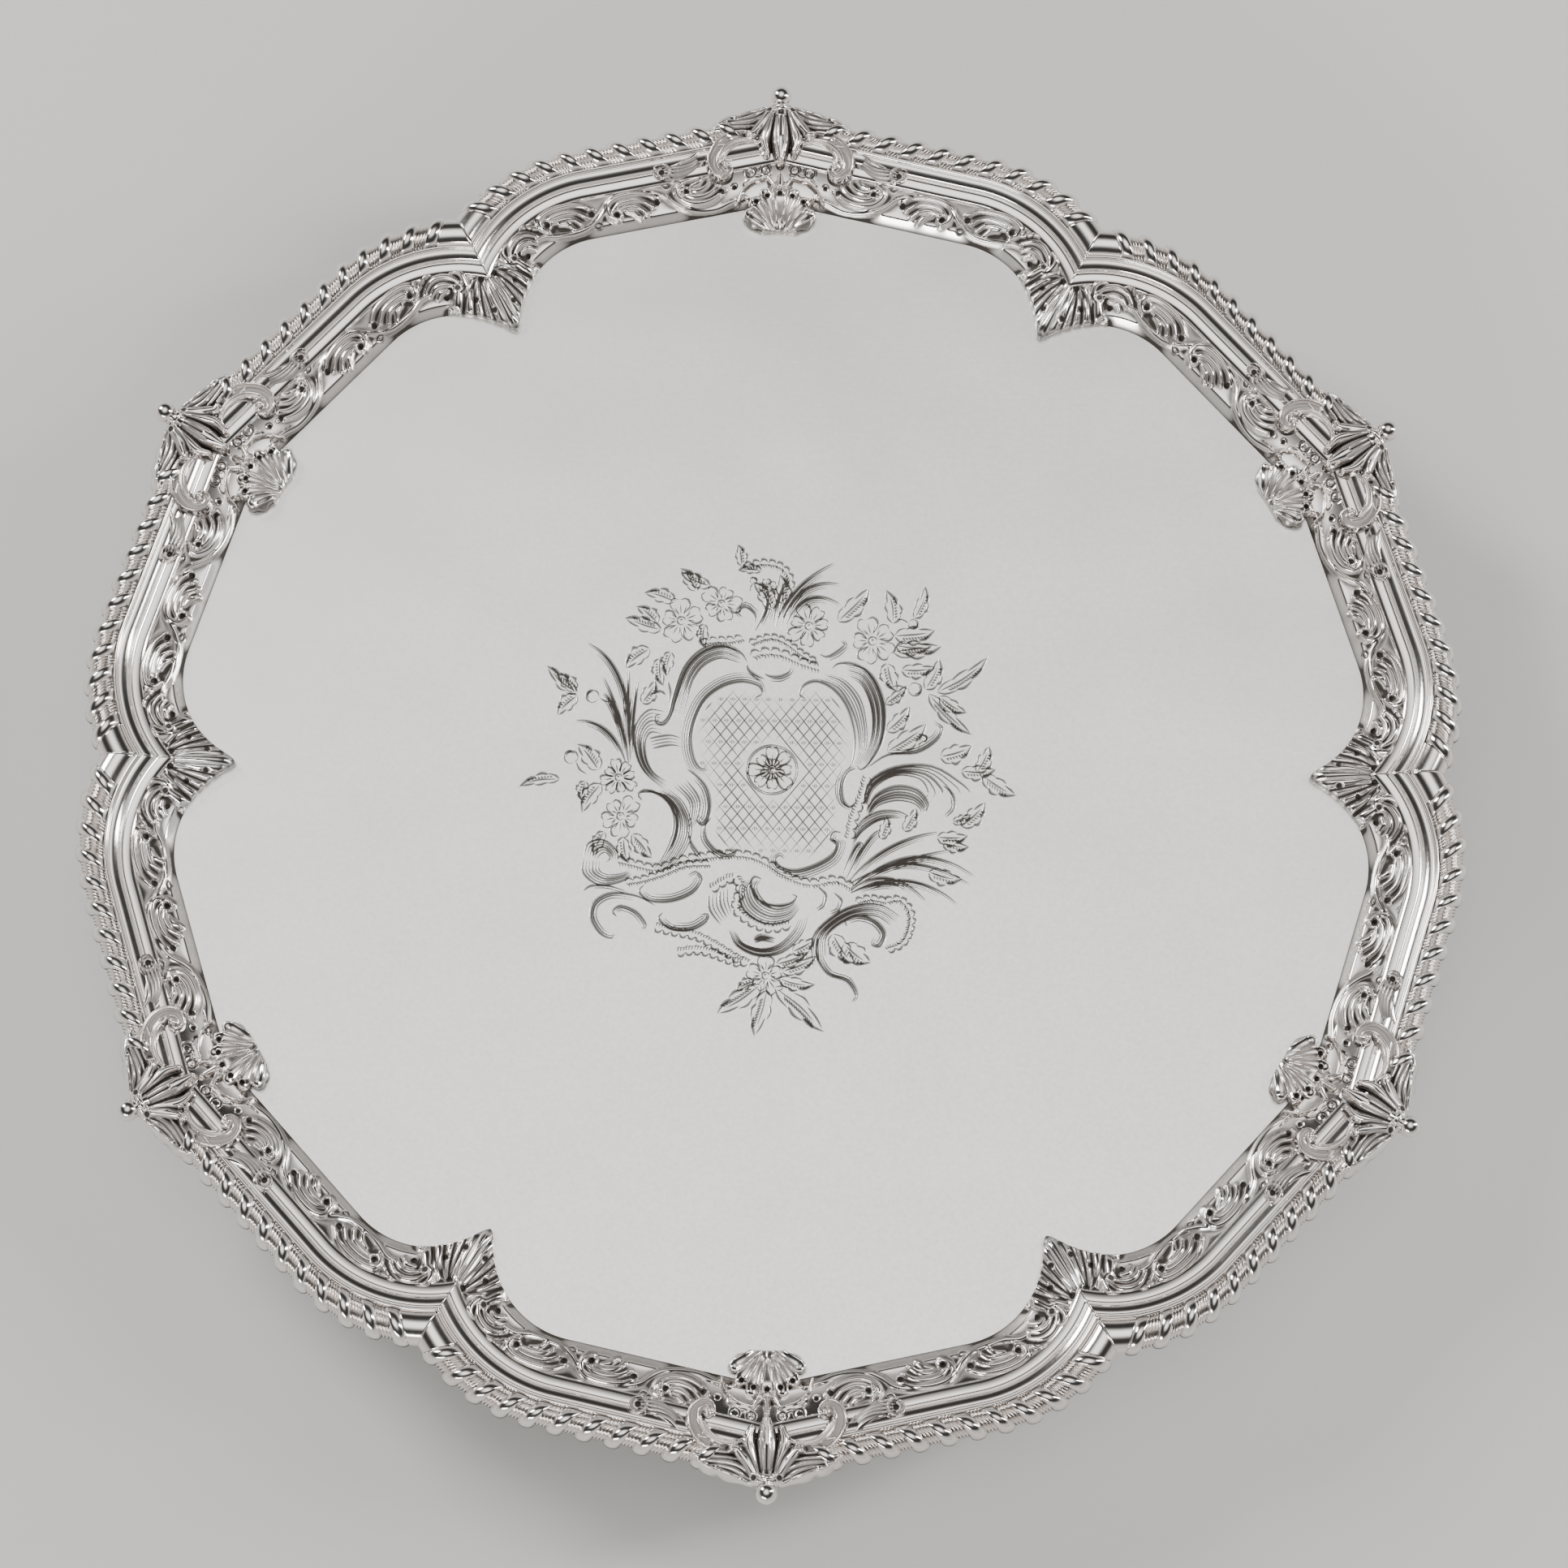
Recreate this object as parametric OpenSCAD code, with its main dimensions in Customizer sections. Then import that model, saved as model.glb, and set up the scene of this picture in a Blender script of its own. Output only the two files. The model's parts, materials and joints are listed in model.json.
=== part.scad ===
// Silver salver: a six-pointed flat plate, twelve frieze sections soldered round its edge,
// twelve cast border sections on the frieze, six corner cartouches, six relief shells and
// six cast scroll feet on backplates.
// Everything is soldered together, so nothing moves.

/* [Plate] */
// Height of the tray surface above the table
tray_z = 38.5; // [34:0.5:46]
// Thickness of the sheet and of the frieze
sheet = 1.2; // [1:0.1:1.6]
// Thickness of the lip that the frieze is soldered on
lip = 0.5; // [0.4:0.1:0.7]
// Height that the narrow bevel rises above the tray surface
bevel_rise = 2.6; // [2:0.1:3]
// Height of the frieze's outer edge above the tray surface
frieze_rise = 5; // [4.5:0.1:6]

/* [Outline] */
// Sideways distance from a corner axis to the centre of the bay's arc
arc_x = 49; // [48:0.5:50]
// Distance along a corner axis from the middle to the level of the arc's centre
arc_y = 135.5; // [134:0.5:137]
// Slope of the straight run that falls away from each corner
run_slope = 12.5; // [11:0.5:14]

/* [Border bands, as distances from the arc's centre] */
// Edge of the flat tray surface
tray_edge = 27; // [26.5:0.1:27.5]
// Top of the narrow bevel
bevel_edge = 29.4; // [28.8:0.1:30]
// Outer edge of the frieze, where the cast border begins
frieze_edge = 37; // [36:0.1:38]
// Fine line between the two smooth bands
fine_line = 40.6; // [40:0.1:41.5]
// Fillet ridge inside the gadroons
fillet_edge = 44.3; // [43.5:0.1:45]
// Outer edge of the gadroons
gadroon_edge = 51.5; // [50:0.1:53]

/* [Corners] */
// Distance from the middle to the centre of each corner ball
ball_r = 203; // [200:0.5:206]
// Diameter of each corner ball
ball_d = 6.2; // [5:0.1:7]
// Half the width left free of gadroons at each corner
cartouche_half = 20; // [18:0.5:22]
// Distance from the middle to the centre of each inner shell
shell_r = 172; // [170:0.5:174]

/* [Feet] */
// Distance from the middle to the middle of each foot
foot_r = 152; // [140:1:156]
// Width of the cast leg
leg_w = 8; // [6:0.5:10]
// Diameter of the round toe pad
toe_d = 13; // [10:0.5:16]

/* [Hidden] */
$fn = 96;
FOLD = 6;
STEP = 360 / FOLD;
SIDES = [1, -1];
// The bay between a corner axis and a notch axis is one twelfth of the turn.
BAY = STEP / 2;
RUN_AT = 90 - run_slope;
ARC_TURN = 90;
REACH = 240;
ARC_STEPS = 18;
RUN_LENGTH = 75;
SHEET_BELOW = tray_z - sheet;
LIP_Z = SHEET_BELOW + lip;
LIP_EDGE = tray_edge + 4;
FLANGE_EDGE = 46;
BAND_Z = tray_z + frieze_rise;
FINE_Z = BAND_Z + 1.5;
FILLET_Z = BAND_Z + 3.4;
CREST_Z = BAND_Z + 5.2;
BALL_Z = tray_z + 10;
SEAT_Z = tray_z + 3.4;
SHELL_TOP = tray_z + 6.6;
CARTOUCHE_TOP = tray_z + 11;
CARTOUCHE_Z = FILLET_Z + 0.1;
TOE_OUT = 1.5;
PAD_T = 1.2;
PAD_Z = SHEET_BELOW - PAD_T;

// Where the straight run at a given distance from the arc's centre meets the corner axis.
function corner_y(t) = arc_y + arc_x * tan(run_slope) + t / cos(run_slope);

// Point on the arc at a given distance and angle.
function arc_point(t, a) = [arc_x + t * cos(a), arc_y + t * sin(a)];

// Angle at which the arc at a given distance reaches the notch axis.
function arc_end(t) = acos((arc_y * sin(BAY) - arc_x * cos(BAY)) / t) - BAY;

// Outline of one bay, from the corner axis along the straight run and round to the notch axis.
function bay_points(t) = concat(
    [[0, corner_y(t)]],
    [for (i = [0:ARC_STEPS]) arc_point(t, RUN_AT + (arc_end(t) - RUN_AT) * i / ARC_STEPS)]
);

function turned(p, a) = [p.x * cos(a) - p.y * sin(a), p.x * sin(a) + p.y * cos(a)];

// The whole outline, clockwise: each corner's right bay, then the next corner's left bay
// walked backwards without its two shared ends.
function outline_points(t) = let (bay = bay_points(t)) [
    for (i = [0:FOLD - 1]) each concat(
        [for (p = bay) turned(p, -i * STEP)],
        [for (k = [len(bay) - 2:-1:1]) turned([-bay[k].x, bay[k].y], -(i + 1) * STEP)]
    )
];

// Flat wedge between a corner axis and the notch axis beside it.
module bay_wedge() {
    polygon([[0, 0], [0, REACH], [REACH * tan(BAY), REACH]]);
}

// Carries a profile, drawn as distance and height, along one bay's straight run and arc.
module bay_sweep() {
    intersection() {
        translate([arc_x, arc_y, 0]) rotate([0, 0, RUN_AT]) {
            rotate([90, 0, 0]) translate([0, 0, -RUN_LENGTH]) linear_extrude(RUN_LENGTH) children();
            mirror([0, 1, 0]) rotate_extrude(angle = ARC_TURN) children();
        }
        linear_extrude(2 * tray_z) bay_wedge();
    }
}

// Section of the frieze: its foot on the plate's lip, the bevel, the shallow hollow and the
// flange that carries the border.
module frieze_profile() {
    middle = (bevel_edge + frieze_edge) / 2;
    middle_z = tray_z + (bevel_rise + frieze_rise) / 2 - 0.5;
    polygon([
        [tray_edge, LIP_Z], [tray_edge, tray_z], [bevel_edge, tray_z + bevel_rise],
        [middle, middle_z], [frieze_edge, BAND_Z], [FLANGE_EDGE, BAND_Z],
        [FLANGE_EDGE, BAND_Z - sheet], [frieze_edge + 0.4, BAND_Z - sheet],
        [middle + 0.4, middle_z - sheet], [LIP_EDGE, tray_z + 0.6], [LIP_EDGE, LIP_Z]
    ]);
}

// Outline shared by each inner shell and the raised seat beneath it.
module shell_outline(grow) {
    translate([0, shell_r]) {
        for (a = [-60:30:60]) {
            rotate(a) translate([0, 2]) circle(r = 4.4 + grow);
        }
        translate([0, -2]) circle(r = 5 + grow);
        for (s = SIDES) {
            translate([s * 5, -3]) circle(r = 2.4 + grow);
        }
    }
}

// Seat that carries an inner shell, standing on the plate and passing through the frieze.
module shell_seat() {
    translate([0, 0, SHEET_BELOW]) linear_extrude(SEAT_Z - SHEET_BELOW) shell_outline(0.3);
}

module plate() {
    color("silver") {
        translate([0, 0, SHEET_BELOW]) linear_extrude(sheet) polygon(outline_points(tray_edge));
        translate([0, 0, SHEET_BELOW]) linear_extrude(lip) polygon(outline_points(LIP_EDGE));
        for (i = [0:FOLD - 1]) {
            rotate([0, 0, i * STEP]) shell_seat();
        }
    }
}

// Puts a piece made for the first bay into bay number 1 to 12.
module in_bay(number) {
    rotate([0, 0, floor((number - 1) / 2) * STEP]) mirror([(number - 1) % 2, 0, 0]) children();
}

module frieze_section(number) {
    color("silver") in_bay(number) difference() {
        bay_sweep() frieze_profile();
        shell_seat();
    }
}

// The two smooth bands and the fillet ridge.
module band_profile() {
    polygon([
        [frieze_edge, BAND_Z], [frieze_edge + 0.6, BAND_Z + 1], [fine_line, FINE_Z],
        [fine_line + 0.5, FINE_Z + 0.9], [fillet_edge, FILLET_Z], [fillet_edge + 1, FILLET_Z - 0.6],
        [fillet_edge + 1, BAND_Z]
    ]);
}

// The half-round body of the gadroons, outside the fillet.
module gadroon_profile() {
    polygon([
        [fillet_edge + 1, BAND_Z], [fillet_edge + 1, FILLET_Z - 0.6], [fillet_edge + 2.6, CREST_Z - 0.5],
        [fillet_edge + 4.2, CREST_Z], [gadroon_edge - 1.6, CREST_Z - 1.1], [gadroon_edge, BAND_Z + 1.4],
        [gadroon_edge, BAND_Z]
    ]);
}

// Keeps the gadroons clear of the cartouche at the corner.
module clear_of_corner() {
    difference() {
        children();
        translate([-1, 0, 0]) cube([cartouche_half + 1, REACH, 2 * tray_z]);
    }
}

module border_section(number) {
    color("silver") in_bay(number) {
        bay_sweep() band_profile();
        clear_of_corner() bay_sweep() gadroon_profile();
    }
}

// Scrolls of the corner cartouche, seen from above.
module cartouche_outline() {
    for (s = SIDES) {
        translate([s * 15.5, 185.5]) difference() {
            circle(r = 7.8);
            circle(r = 3.2);
        }
        translate([s * 9, 193.6]) circle(r = 3.4);
        translate([s * 15.4, 195]) circle(r = 2.6);
    }
    for (t = [0:5]) {
        translate([0, 184.5 + 2.9 * t]) circle(r = 4.6 - 0.35 * t);
    }
    polygon([[-9, 191], [9, 191], [8, 197], [0, 200.5], [-8, 197]]);
}

module corner_cartouche() {
    color("silver") {
        translate([0, 0, CARTOUCHE_Z]) linear_extrude(CARTOUCHE_TOP - CARTOUCHE_Z) cartouche_outline();
        translate([0, ball_r, BALL_Z]) sphere(d = ball_d);
        translate([0, ball_r - 4, BALL_Z]) rotate([-90, 0, 0]) cylinder(d = 2.6, h = 3);
    }
}

module inner_shell() {
    color("silver") intersection() {
        translate([0, 0, SEAT_Z]) linear_extrude(SHELL_TOP - SEAT_Z) shell_outline(0);
        translate([0, shell_r, SHELL_TOP - 18]) sphere(r = 18);
    }
}

// Side view of the leg: a volute under the plate, an S-shaped shank and a scrolled toe.
module leg_side() {
    translate([-4.5, PAD_Z - 7.2]) circle(r = 6);
    translate([-4.5, PAD_Z - 4]) square([9, 4]);
    polygon([[-6, PAD_Z - 5], [6, PAD_Z - 1.5], [8, PAD_Z - 8], [3.5, 15], [3.5, 9], [-3.5, 8], [-4.5, 15]]);
    translate([4.4, 5.2]) circle(r = 4.4);
    polygon([[-4, 10], [4, 9.6], [7, 2], [-2, 2]]);
}

module foot() {
    color("silver") translate([0, foot_r, 0]) {
        rotate([90, 0, 90]) translate([0, 0, -leg_w / 2]) linear_extrude(leg_w) intersection() {
            leg_side();
            translate([-20, 1]) square([40, PAD_Z - 1]);
        }
        translate([0, TOE_OUT, 0]) cylinder(d = toe_d, h = 2.4);
    }
}

module foot_backplate() {
    color("silver") translate([0, foot_r, PAD_Z]) linear_extrude(PAD_T) {
        circle(r = 10);
        for (s = SIDES) {
            translate([s * 10, 1]) circle(r = 5.5);
        }
        translate([0, -10]) circle(r = 4.5);
    }
}

plate();
for (i = [1:2 * FOLD]) {
    frieze_section(i);
    border_section(i);
}
for (i = [1:FOLD]) {
    turn = (i - 1) * STEP;
    rotate([0, 0, turn]) corner_cartouche();
    rotate([0, 0, turn]) inner_shell();
    rotate([0, 0, turn]) foot();
    rotate([0, 0, turn]) foot_backplate();
}
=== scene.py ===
"""Silver salver: relief border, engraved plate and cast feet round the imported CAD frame.

Lengths are millimetres in the frame's axes until a mesh is made. Ornament is drawn in
thousandths of the corner radius, for the bay to the right of the corner on +Y, and is then
mirrored and turned into the other eleven bays.
"""

import json
import math

import bmesh
import bpy
import numpy as np
from mathutils import Matrix, Vector
from mathutils.geometry import delaunay_2d_cdt


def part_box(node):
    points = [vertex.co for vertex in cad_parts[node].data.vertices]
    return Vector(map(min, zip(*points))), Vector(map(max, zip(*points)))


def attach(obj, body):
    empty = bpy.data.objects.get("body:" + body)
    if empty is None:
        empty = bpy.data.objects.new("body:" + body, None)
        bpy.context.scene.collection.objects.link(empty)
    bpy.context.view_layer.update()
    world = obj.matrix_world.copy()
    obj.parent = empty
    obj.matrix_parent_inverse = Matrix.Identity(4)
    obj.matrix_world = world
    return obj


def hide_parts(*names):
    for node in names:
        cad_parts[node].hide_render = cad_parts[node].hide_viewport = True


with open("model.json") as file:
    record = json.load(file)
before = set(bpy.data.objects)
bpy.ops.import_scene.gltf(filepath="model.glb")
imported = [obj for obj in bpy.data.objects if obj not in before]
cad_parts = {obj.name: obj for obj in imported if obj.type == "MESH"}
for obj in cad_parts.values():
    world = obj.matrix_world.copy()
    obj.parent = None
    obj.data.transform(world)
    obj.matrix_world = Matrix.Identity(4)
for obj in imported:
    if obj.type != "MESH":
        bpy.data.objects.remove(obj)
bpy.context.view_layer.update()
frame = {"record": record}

# ---------------------------------------------------------------- driving dimensions
MM = 0.001
FOLD = 6
STEP = 2 * math.pi / FOLD
BALL_RADIUS = 3.1
CORNER_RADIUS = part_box("corner_cartouche_1")[1].y / MM - BALL_RADIUS
UNIT = CORNER_RADIUS / 1000
TRAY_Z = frame["record"]["mounts"][0]["pos_m"][2] / MM
SHEET = TRAY_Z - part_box("plate")[0].z / MM

# The border's outline: a straight run and an arc in every bay.
ARC_CENTRE = np.array([49.0, 135.5])
RUN_SLOPE = math.radians(12.5)
RUN_AT = math.pi / 2 - RUN_SLOPE
NOTCH_GAP = ARC_CENTRE[1] * math.sin(STEP / 2) - ARC_CENTRE[0] * math.cos(STEP / 2)

# Distances from the arc's centre, and heights above the tray surface.
TRAY_EDGE, BEVEL_EDGE, FRIEZE_EDGE = 26.4, 28.9, 37.0
GADROON_EDGE = 52.0
LIP_EDGE = TRAY_EDGE + 4
BEVEL_RISE, FRIEZE_RISE = 2.6, 5.0
BALL_RISE = 10.0
NOTCH_TIP, NOTCH_SOFTNESS, NOTCH_REACH = 152.0, 1.3, 15


# ---------------------------------------------------------------- the outline
def corner_y(t):
    """Where the straight run at distance t meets the corner axis."""
    return ARC_CENTRE[1] + ARC_CENTRE[0] * math.tan(RUN_SLOPE) + t / math.cos(RUN_SLOPE)


def arc_end(t):
    """Angle at which the arc at distance t reaches the notch axis."""
    return np.arccos(NOTCH_GAP / t) - STEP / 2


def arc_point(t, angle):
    """Point at distance t and an angle from the arc's centre."""
    return ARC_CENTRE + np.stack([t * np.cos(angle), t * np.sin(angle)], -1)


def blunted(xy):
    """Points near the notch axis pushed out so that the notch ends bluntly."""
    axis = np.array([math.sin(STEP / 2), math.cos(STEP / 2)])
    along, across = xy @ axis, np.abs(xy @ [axis[1], -axis[0]])
    over = NOTCH_TIP + NOTCH_SOFTNESS * np.logaddexp(0, (along - NOTCH_TIP) / NOTCH_SOFTNESS)
    return xy + np.where(across < NOTCH_REACH, over - along, 0)[..., None] * axis


def bay_row(t, runs, arcs):
    """Points along one bay at distance t: along the run, then round the arc."""
    u = np.linspace(0, 1, runs + 1)[:-1, None]
    first = np.array([0.0, corner_y(t)])
    last = arc_point(t, RUN_AT)
    angles = np.linspace(RUN_AT, arc_end(t), arcs + 1)
    return np.vstack([first + (last - first) * u, blunted(arc_point(t, angles))])


def border_distance(xy):
    """Distance t of any point, measured from the arc's centre or the straight run's line."""
    x, y = np.abs(xy[..., 0]), xy[..., 1]
    dx, dy = x - ARC_CENTRE[0], y - ARC_CENTRE[1]
    along_run = dx * math.cos(RUN_AT) + dy * math.sin(RUN_AT)
    on_arc = np.arctan2(dy, dx) < RUN_AT
    return np.where(on_arc, np.hypot(dx, dy), along_run)


# ---------------------------------------------------------------- meshes
def grid_faces(rows, cols, wrap=False):
    """Quads of a rows by cols grid of vertices; wrap joins the last row to the first."""
    i = np.arange(rows if wrap else rows - 1)[:, None]
    j = np.arange(cols - 1)[None]
    a = (i * cols + j).ravel()
    b = (((i + 1) % rows) * cols + j).ravel()
    return np.stack([a, b, b + 1, a + 1], 1)


class Shape:
    """Vertices in millimetres, faces and a painted-shade value for each vertex, joined as they come."""

    def __init__(self):
        self.points, self.faces, self.painted_shade, self.count = [], [], [], 0

    def add(self, points, faces, painted_shade=None):
        """Joins more vertices and faces on; the faces count from the first new vertex."""
        points = np.asarray(points, float).reshape(-1, 3)
        self.points.append(points)
        self.painted_shade.append(np.zeros(len(points)) if painted_shade is None else np.asarray(painted_shade, float).ravel())
        self.faces += [tuple(int(v) + self.count for v in face) for face in faces]
        self.count += len(points)
        return self

    def mirrored(self):
        """The same shape on the other side of the corner axis."""
        other = Shape()
        flipped = [face[::-1] for face in self.faces]
        return other.add(np.vstack(self.points) * [-1, 1, 1], flipped, np.concatenate(self.painted_shade))

    def turned(self, angle):
        """The same shape turned about the middle."""
        c, s = math.cos(angle), math.sin(angle)
        spin = np.array([[c, s, 0], [-s, c, 0], [0, 0, 1]])
        return Shape().add(np.vstack(self.points) @ spin, self.faces, np.concatenate(self.painted_shade))

    def mesh(self, name, smooth=True):
        """A Blender mesh in metres, with its faces turned outwards."""
        data = bpy.data.meshes.new(name)
        points = np.vstack(self.points) * MM
        data.from_pydata(points.tolist(), [], self.faces)
        solid = bmesh.new()
        solid.from_mesh(data)
        bmesh.ops.recalc_face_normals(solid, faces=solid.faces)
        solid.to_mesh(data)
        solid.free()
        data.polygons.foreach_set("use_smooth", [smooth] * len(data.polygons))
        # painted shade in the recesses, kept for the material to darken the colour by
        painted_shade = data.attributes.new("painted_shade", "FLOAT", "POINT")
        painted_shade.data.foreach_set("value", np.concatenate(self.painted_shade).astype(np.float32))
        data.validate()
        data.update()
        return data


def ring_solid(shape, rows, painted_shade=None):
    """A closed solid from rows of points that go round a section, with its two ends capped."""
    rows = np.asarray(rows)
    count, cols = rows.shape[:2]
    faces = [tuple(f) for f in grid_faces(count, cols, wrap=True)]
    faces.append(tuple(range(0, count * cols, cols)))
    faces.append(tuple(range(cols - 1, count * cols, cols))[::-1])
    return shape.add(rows, faces, painted_shade)


def turned_solid(shape, points, flip=False):
    """A closed solid from rings of points, with its first and last ring capped."""
    rings, n = points.shape[:2]
    sides = [tuple(q) for q in grid_faces(rings, n)]
    sides += [(i * n + n - 1, (i + 1) * n + n - 1, (i + 1) * n, i * n) for i in range(rings - 1)]
    if flip:
        sides = [q[::-1] for q in sides]
    caps = [tuple(range(n))[::-1], tuple(range((rings - 1) * n, rings * n))]
    return shape.add(points, sides + caps)


def slab_solid(shape, xy, top, bottom, keep, painted_shade):
    """A closed solid between two height fields over a grid, where the cells are kept."""
    rows, cols = xy.shape[:2]
    quads = grid_faces(rows, cols)[keep.ravel()]
    used = np.unique(quads)
    place = np.full(rows * cols, -1)
    place[used] = np.arange(len(used))
    quads = place[quads]
    flat = xy.reshape(-1, 2)[used]
    upper = np.column_stack([flat, top.ravel()[used]])
    lower = np.column_stack([flat, bottom.ravel()[used]])
    edges = np.vstack([quads[:, [k, (k + 1) % 4]] for k in range(4)])
    ways = {tuple(e) for e in edges.tolist()}
    rim = [e for e in ways if (e[1], e[0]) not in ways]
    n = len(used)
    faces = [tuple(q[::-1]) for q in quads] + [tuple(q + n) for q in quads]
    faces += [(a, b, b + n, a + n) for a, b in rim]
    # painted shade on the top surface only; the underside gets none
    dark = painted_shade.ravel()[used]
    return shape.add(np.vstack([upper, lower]), faces, np.concatenate([dark, 0 * dark]))


# ---------------------------------------------------------------- relief drawing
def smooth_path(points, per=9):
    """Catmull-Rom curve through rows of x, y, half-width and height."""
    p = np.array(points, float)
    p = np.vstack([2 * p[0] - p[1], p, 2 * p[-1] - p[-2]])
    u = np.linspace(0, 1, per, endpoint=False)[:, None]
    spans = [
        0.5 * (2 * b + (c - a) * u + (2 * a - 5 * b + 4 * c - d) * u**2 + (3 * b - a - 3 * c + d) * u**3)
        for a, b, c, d in zip(p, p[1:], p[2:], p[3:])
    ]
    return np.vstack([*spans, p[-2:-1]])


def nearest(points, path):
    """Offset from the nearest spot of a path, its side and the path's values there."""
    a, ab = path[:-1, :2], np.diff(path[:, :2], axis=0)
    rel = points[:, None] - a
    u = np.clip((rel * ab).sum(-1) / np.maximum((ab**2).sum(-1), 1e-9), 0, 1)
    gap = rel - u[..., None] * ab
    k = (gap**2).sum(-1).argmin(1)
    i = np.arange(len(points))
    part = u[i, k][:, None]
    side = np.sign(ab[k, 0] * gap[i, k, 1] - ab[k, 1] * gap[i, k, 0])
    values = path[k] * (1 - part) + path[k + 1] * part
    return gap[i, k], side, values


def round_bar(r):
    """Half-round section."""
    return np.sqrt(np.clip(1 - r**2, 0, 1))


def blade(r):
    """Steep on its left side, easing down to the right."""
    crest = -0.55
    rise = round_bar((crest - r) / (crest + 1))
    fall = np.cos(np.clip((r - crest) / (1 - crest), 0, 1) * math.pi / 2) ** 1.3
    return np.where(r < crest, rise, fall)


def back_blade(r):
    """Steep on its right side, easing down to the left."""
    return blade(-r)


def ribbon(r):
    """Scroll ribbon: thick rim on the left, a hollow, then two thin ridges on the right."""
    rims = np.exp(-(((r - 0.74) / 0.2) ** 2)) + 0.75 * np.exp(-(((r + 0.28) / 0.14) ** 2))
    rims += 0.8 * np.exp(-(((r + 0.78) / 0.15) ** 2))
    return (0.5 + 0.5 * rims) * np.clip(1 - r**10, 0, 1) ** 0.4


def dish(r):
    """Raised rim round a hollow."""
    return 0.35 + 0.65 * np.abs(r) ** 2.5


def flute(r):
    """Shallow hollow with soft edges."""
    return (0.78 + 0.22 * np.abs(r) ** 2) * np.clip(1 - r**8, 0, 1) ** 0.5


EMPTY = -50.0
FAR = 1e3
SKIRT = 0.6


class Relief:
    """Heights over a set of points, built up from strokes."""

    def __init__(self, xy, base):
        self.shape = xy.shape[:-1]
        self.xy = xy.reshape(-1, 2).copy()
        self.z = np.asarray(base, float).ravel().copy()
        self.base = self.z.copy()
        self.mirror = np.where(self.xy[:, 0] < 0, -1.0, 1.0)
        self.half = np.column_stack([np.abs(self.xy[:, 0]), self.xy[:, 1]]) / UNIT
        self.outside = np.full(len(self.z), FAR)
        self.toward = np.zeros_like(self.xy)
        # painted shade for each point, set by cuts, punches and rings
        self.painted_shade = np.zeros(len(self.z))

    def near(self, path, grow=0.0):
        """Points that a path can reach, with their place across it and its values there."""
        reach = path[:, 2].max() + grow
        low, high = path[:, :2].min(0) - reach, path[:, :2].max(0) + reach
        index = np.flatnonzero(((self.half > low) & (self.half < high)).all(1))
        if not len(index):
            return None
        gap, side, values = nearest(self.half[index], path)
        return index, gap, np.hypot(*gap.T), side, values

    def raise_bar(self, points, section=round_bar, level=None):
        """Raises a stroke of x, y, half-width and crown height, over the base or a fixed level."""
        found = self.near(smooth_path(points), 4.0)
        if found is None:
            return
        index, gap, distance, side, values = found
        width = values[:, 2]
        outside = (distance - width) * UNIT
        better = outside < self.outside[index]
        chosen = index[better]
        self.outside[chosen] = outside[better]
        way = gap[better] / np.maximum(distance[better], 1e-9)[:, None]
        self.toward[chosen] = way * np.column_stack([self.mirror[chosen], np.ones(len(chosen))])
        inside = distance < width * 1.001 + 1e-6
        if level is not None:
            inside |= outside < SKIRT
        across = np.clip(side * distance / np.maximum(width, 1e-6), -1, 1)
        new = (self.base[index] if level is None else level) + values[:, 3] * section(across)
        put = inside & (new > self.z[index])
        self.z[index[put]] = new[put]

    def cut(self, points, dark):
        """Cuts a V-shaped stroke whose height column is its depth."""
        found = self.near(smooth_path(points))
        if found is None:
            return
        index, _, distance, _, values = found
        r = np.clip(distance / np.maximum(values[:, 2], 1e-6), 0, 1)
        self.z[index] -= values[:, 3] * (1 - r) ** 0.8
        # painted shade along the cut, darkest on its middle line
        self.painted_shade[index] = np.maximum(self.painted_shade[index], dark * (1 - r**2))

    def punch(self, x, y, radius, depth=0.9):
        """A round punched hole with painted shade on its floor."""
        r = np.hypot(self.half[:, 0] - x, self.half[:, 1] - y) / radius
        hole = r < 1
        self.z[hole] -= depth * (1 - r[hole] ** 4)
        self.painted_shade[hole] = np.maximum(self.painted_shade[hole], np.clip(1.6 * (1 - r[hole] ** 3), 0, 1))

    def ring(self, x, y, radius, width=1.6, depth=0.5):
        """A punched ring round a spot, with painted shade along it."""
        r = np.abs(np.hypot(self.half[:, 0] - x, self.half[:, 1] - y) - radius) / width
        line = r < 1
        self.z[line] -= depth * (1 - r[line] ** 2)
        self.painted_shade[line] = np.maximum(self.painted_shade[line], 0.9 * (1 - r[line] ** 2))

    def height(self):
        """The heights as a grid."""
        return self.z.reshape(self.shape)

    def cavity(self, spread, strength):
        """Painted shade where a point lies below its surroundings on the grid, plus what was punched."""
        z = self.height()
        low = np.clip((blur(z, spread) - z) * strength, 0, 1)
        return np.clip(low.ravel() + self.painted_shade, 0, 1).reshape(self.shape)


def blur(field, spread):
    """Gaussian blur of a grid."""
    reach = int(3 * spread)
    kernel = np.exp(-0.5 * (np.arange(-reach, reach + 1) / spread) ** 2)
    kernel /= kernel.sum()
    for axis in (0, 1):
        pad = [(reach, reach) if k == axis else (0, 0) for k in (0, 1)]
        padded = np.pad(field, pad, mode="edge")
        size = field.shape[axis]
        field = sum(np.take(padded, range(k, k + size), axis) * w for k, w in enumerate(kernel))
    return field


def spread_between(first, last, count):
    """Curves evenly between two curves that have the same number of points."""
    first, last = np.array(first, float), np.array(last, float)
    return [first + (last - first) * k / (count - 1) for k in range(count)]


# ---------------------------------------------------------------- placing the pieces
def silver_piece(name, data, material, nodes, turn=0.0):
    """Puts a mesh into the scene, turned about the middle, in place of its CAD nodes."""
    piece = bpy.data.objects.new(name, data)
    bpy.context.scene.collection.objects.link(piece)
    piece.matrix_world = Matrix.Rotation(turn, 4, "Z")
    if not data.materials:
        data.materials.append(material)
    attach(piece, "root")
    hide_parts(*nodes)


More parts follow.
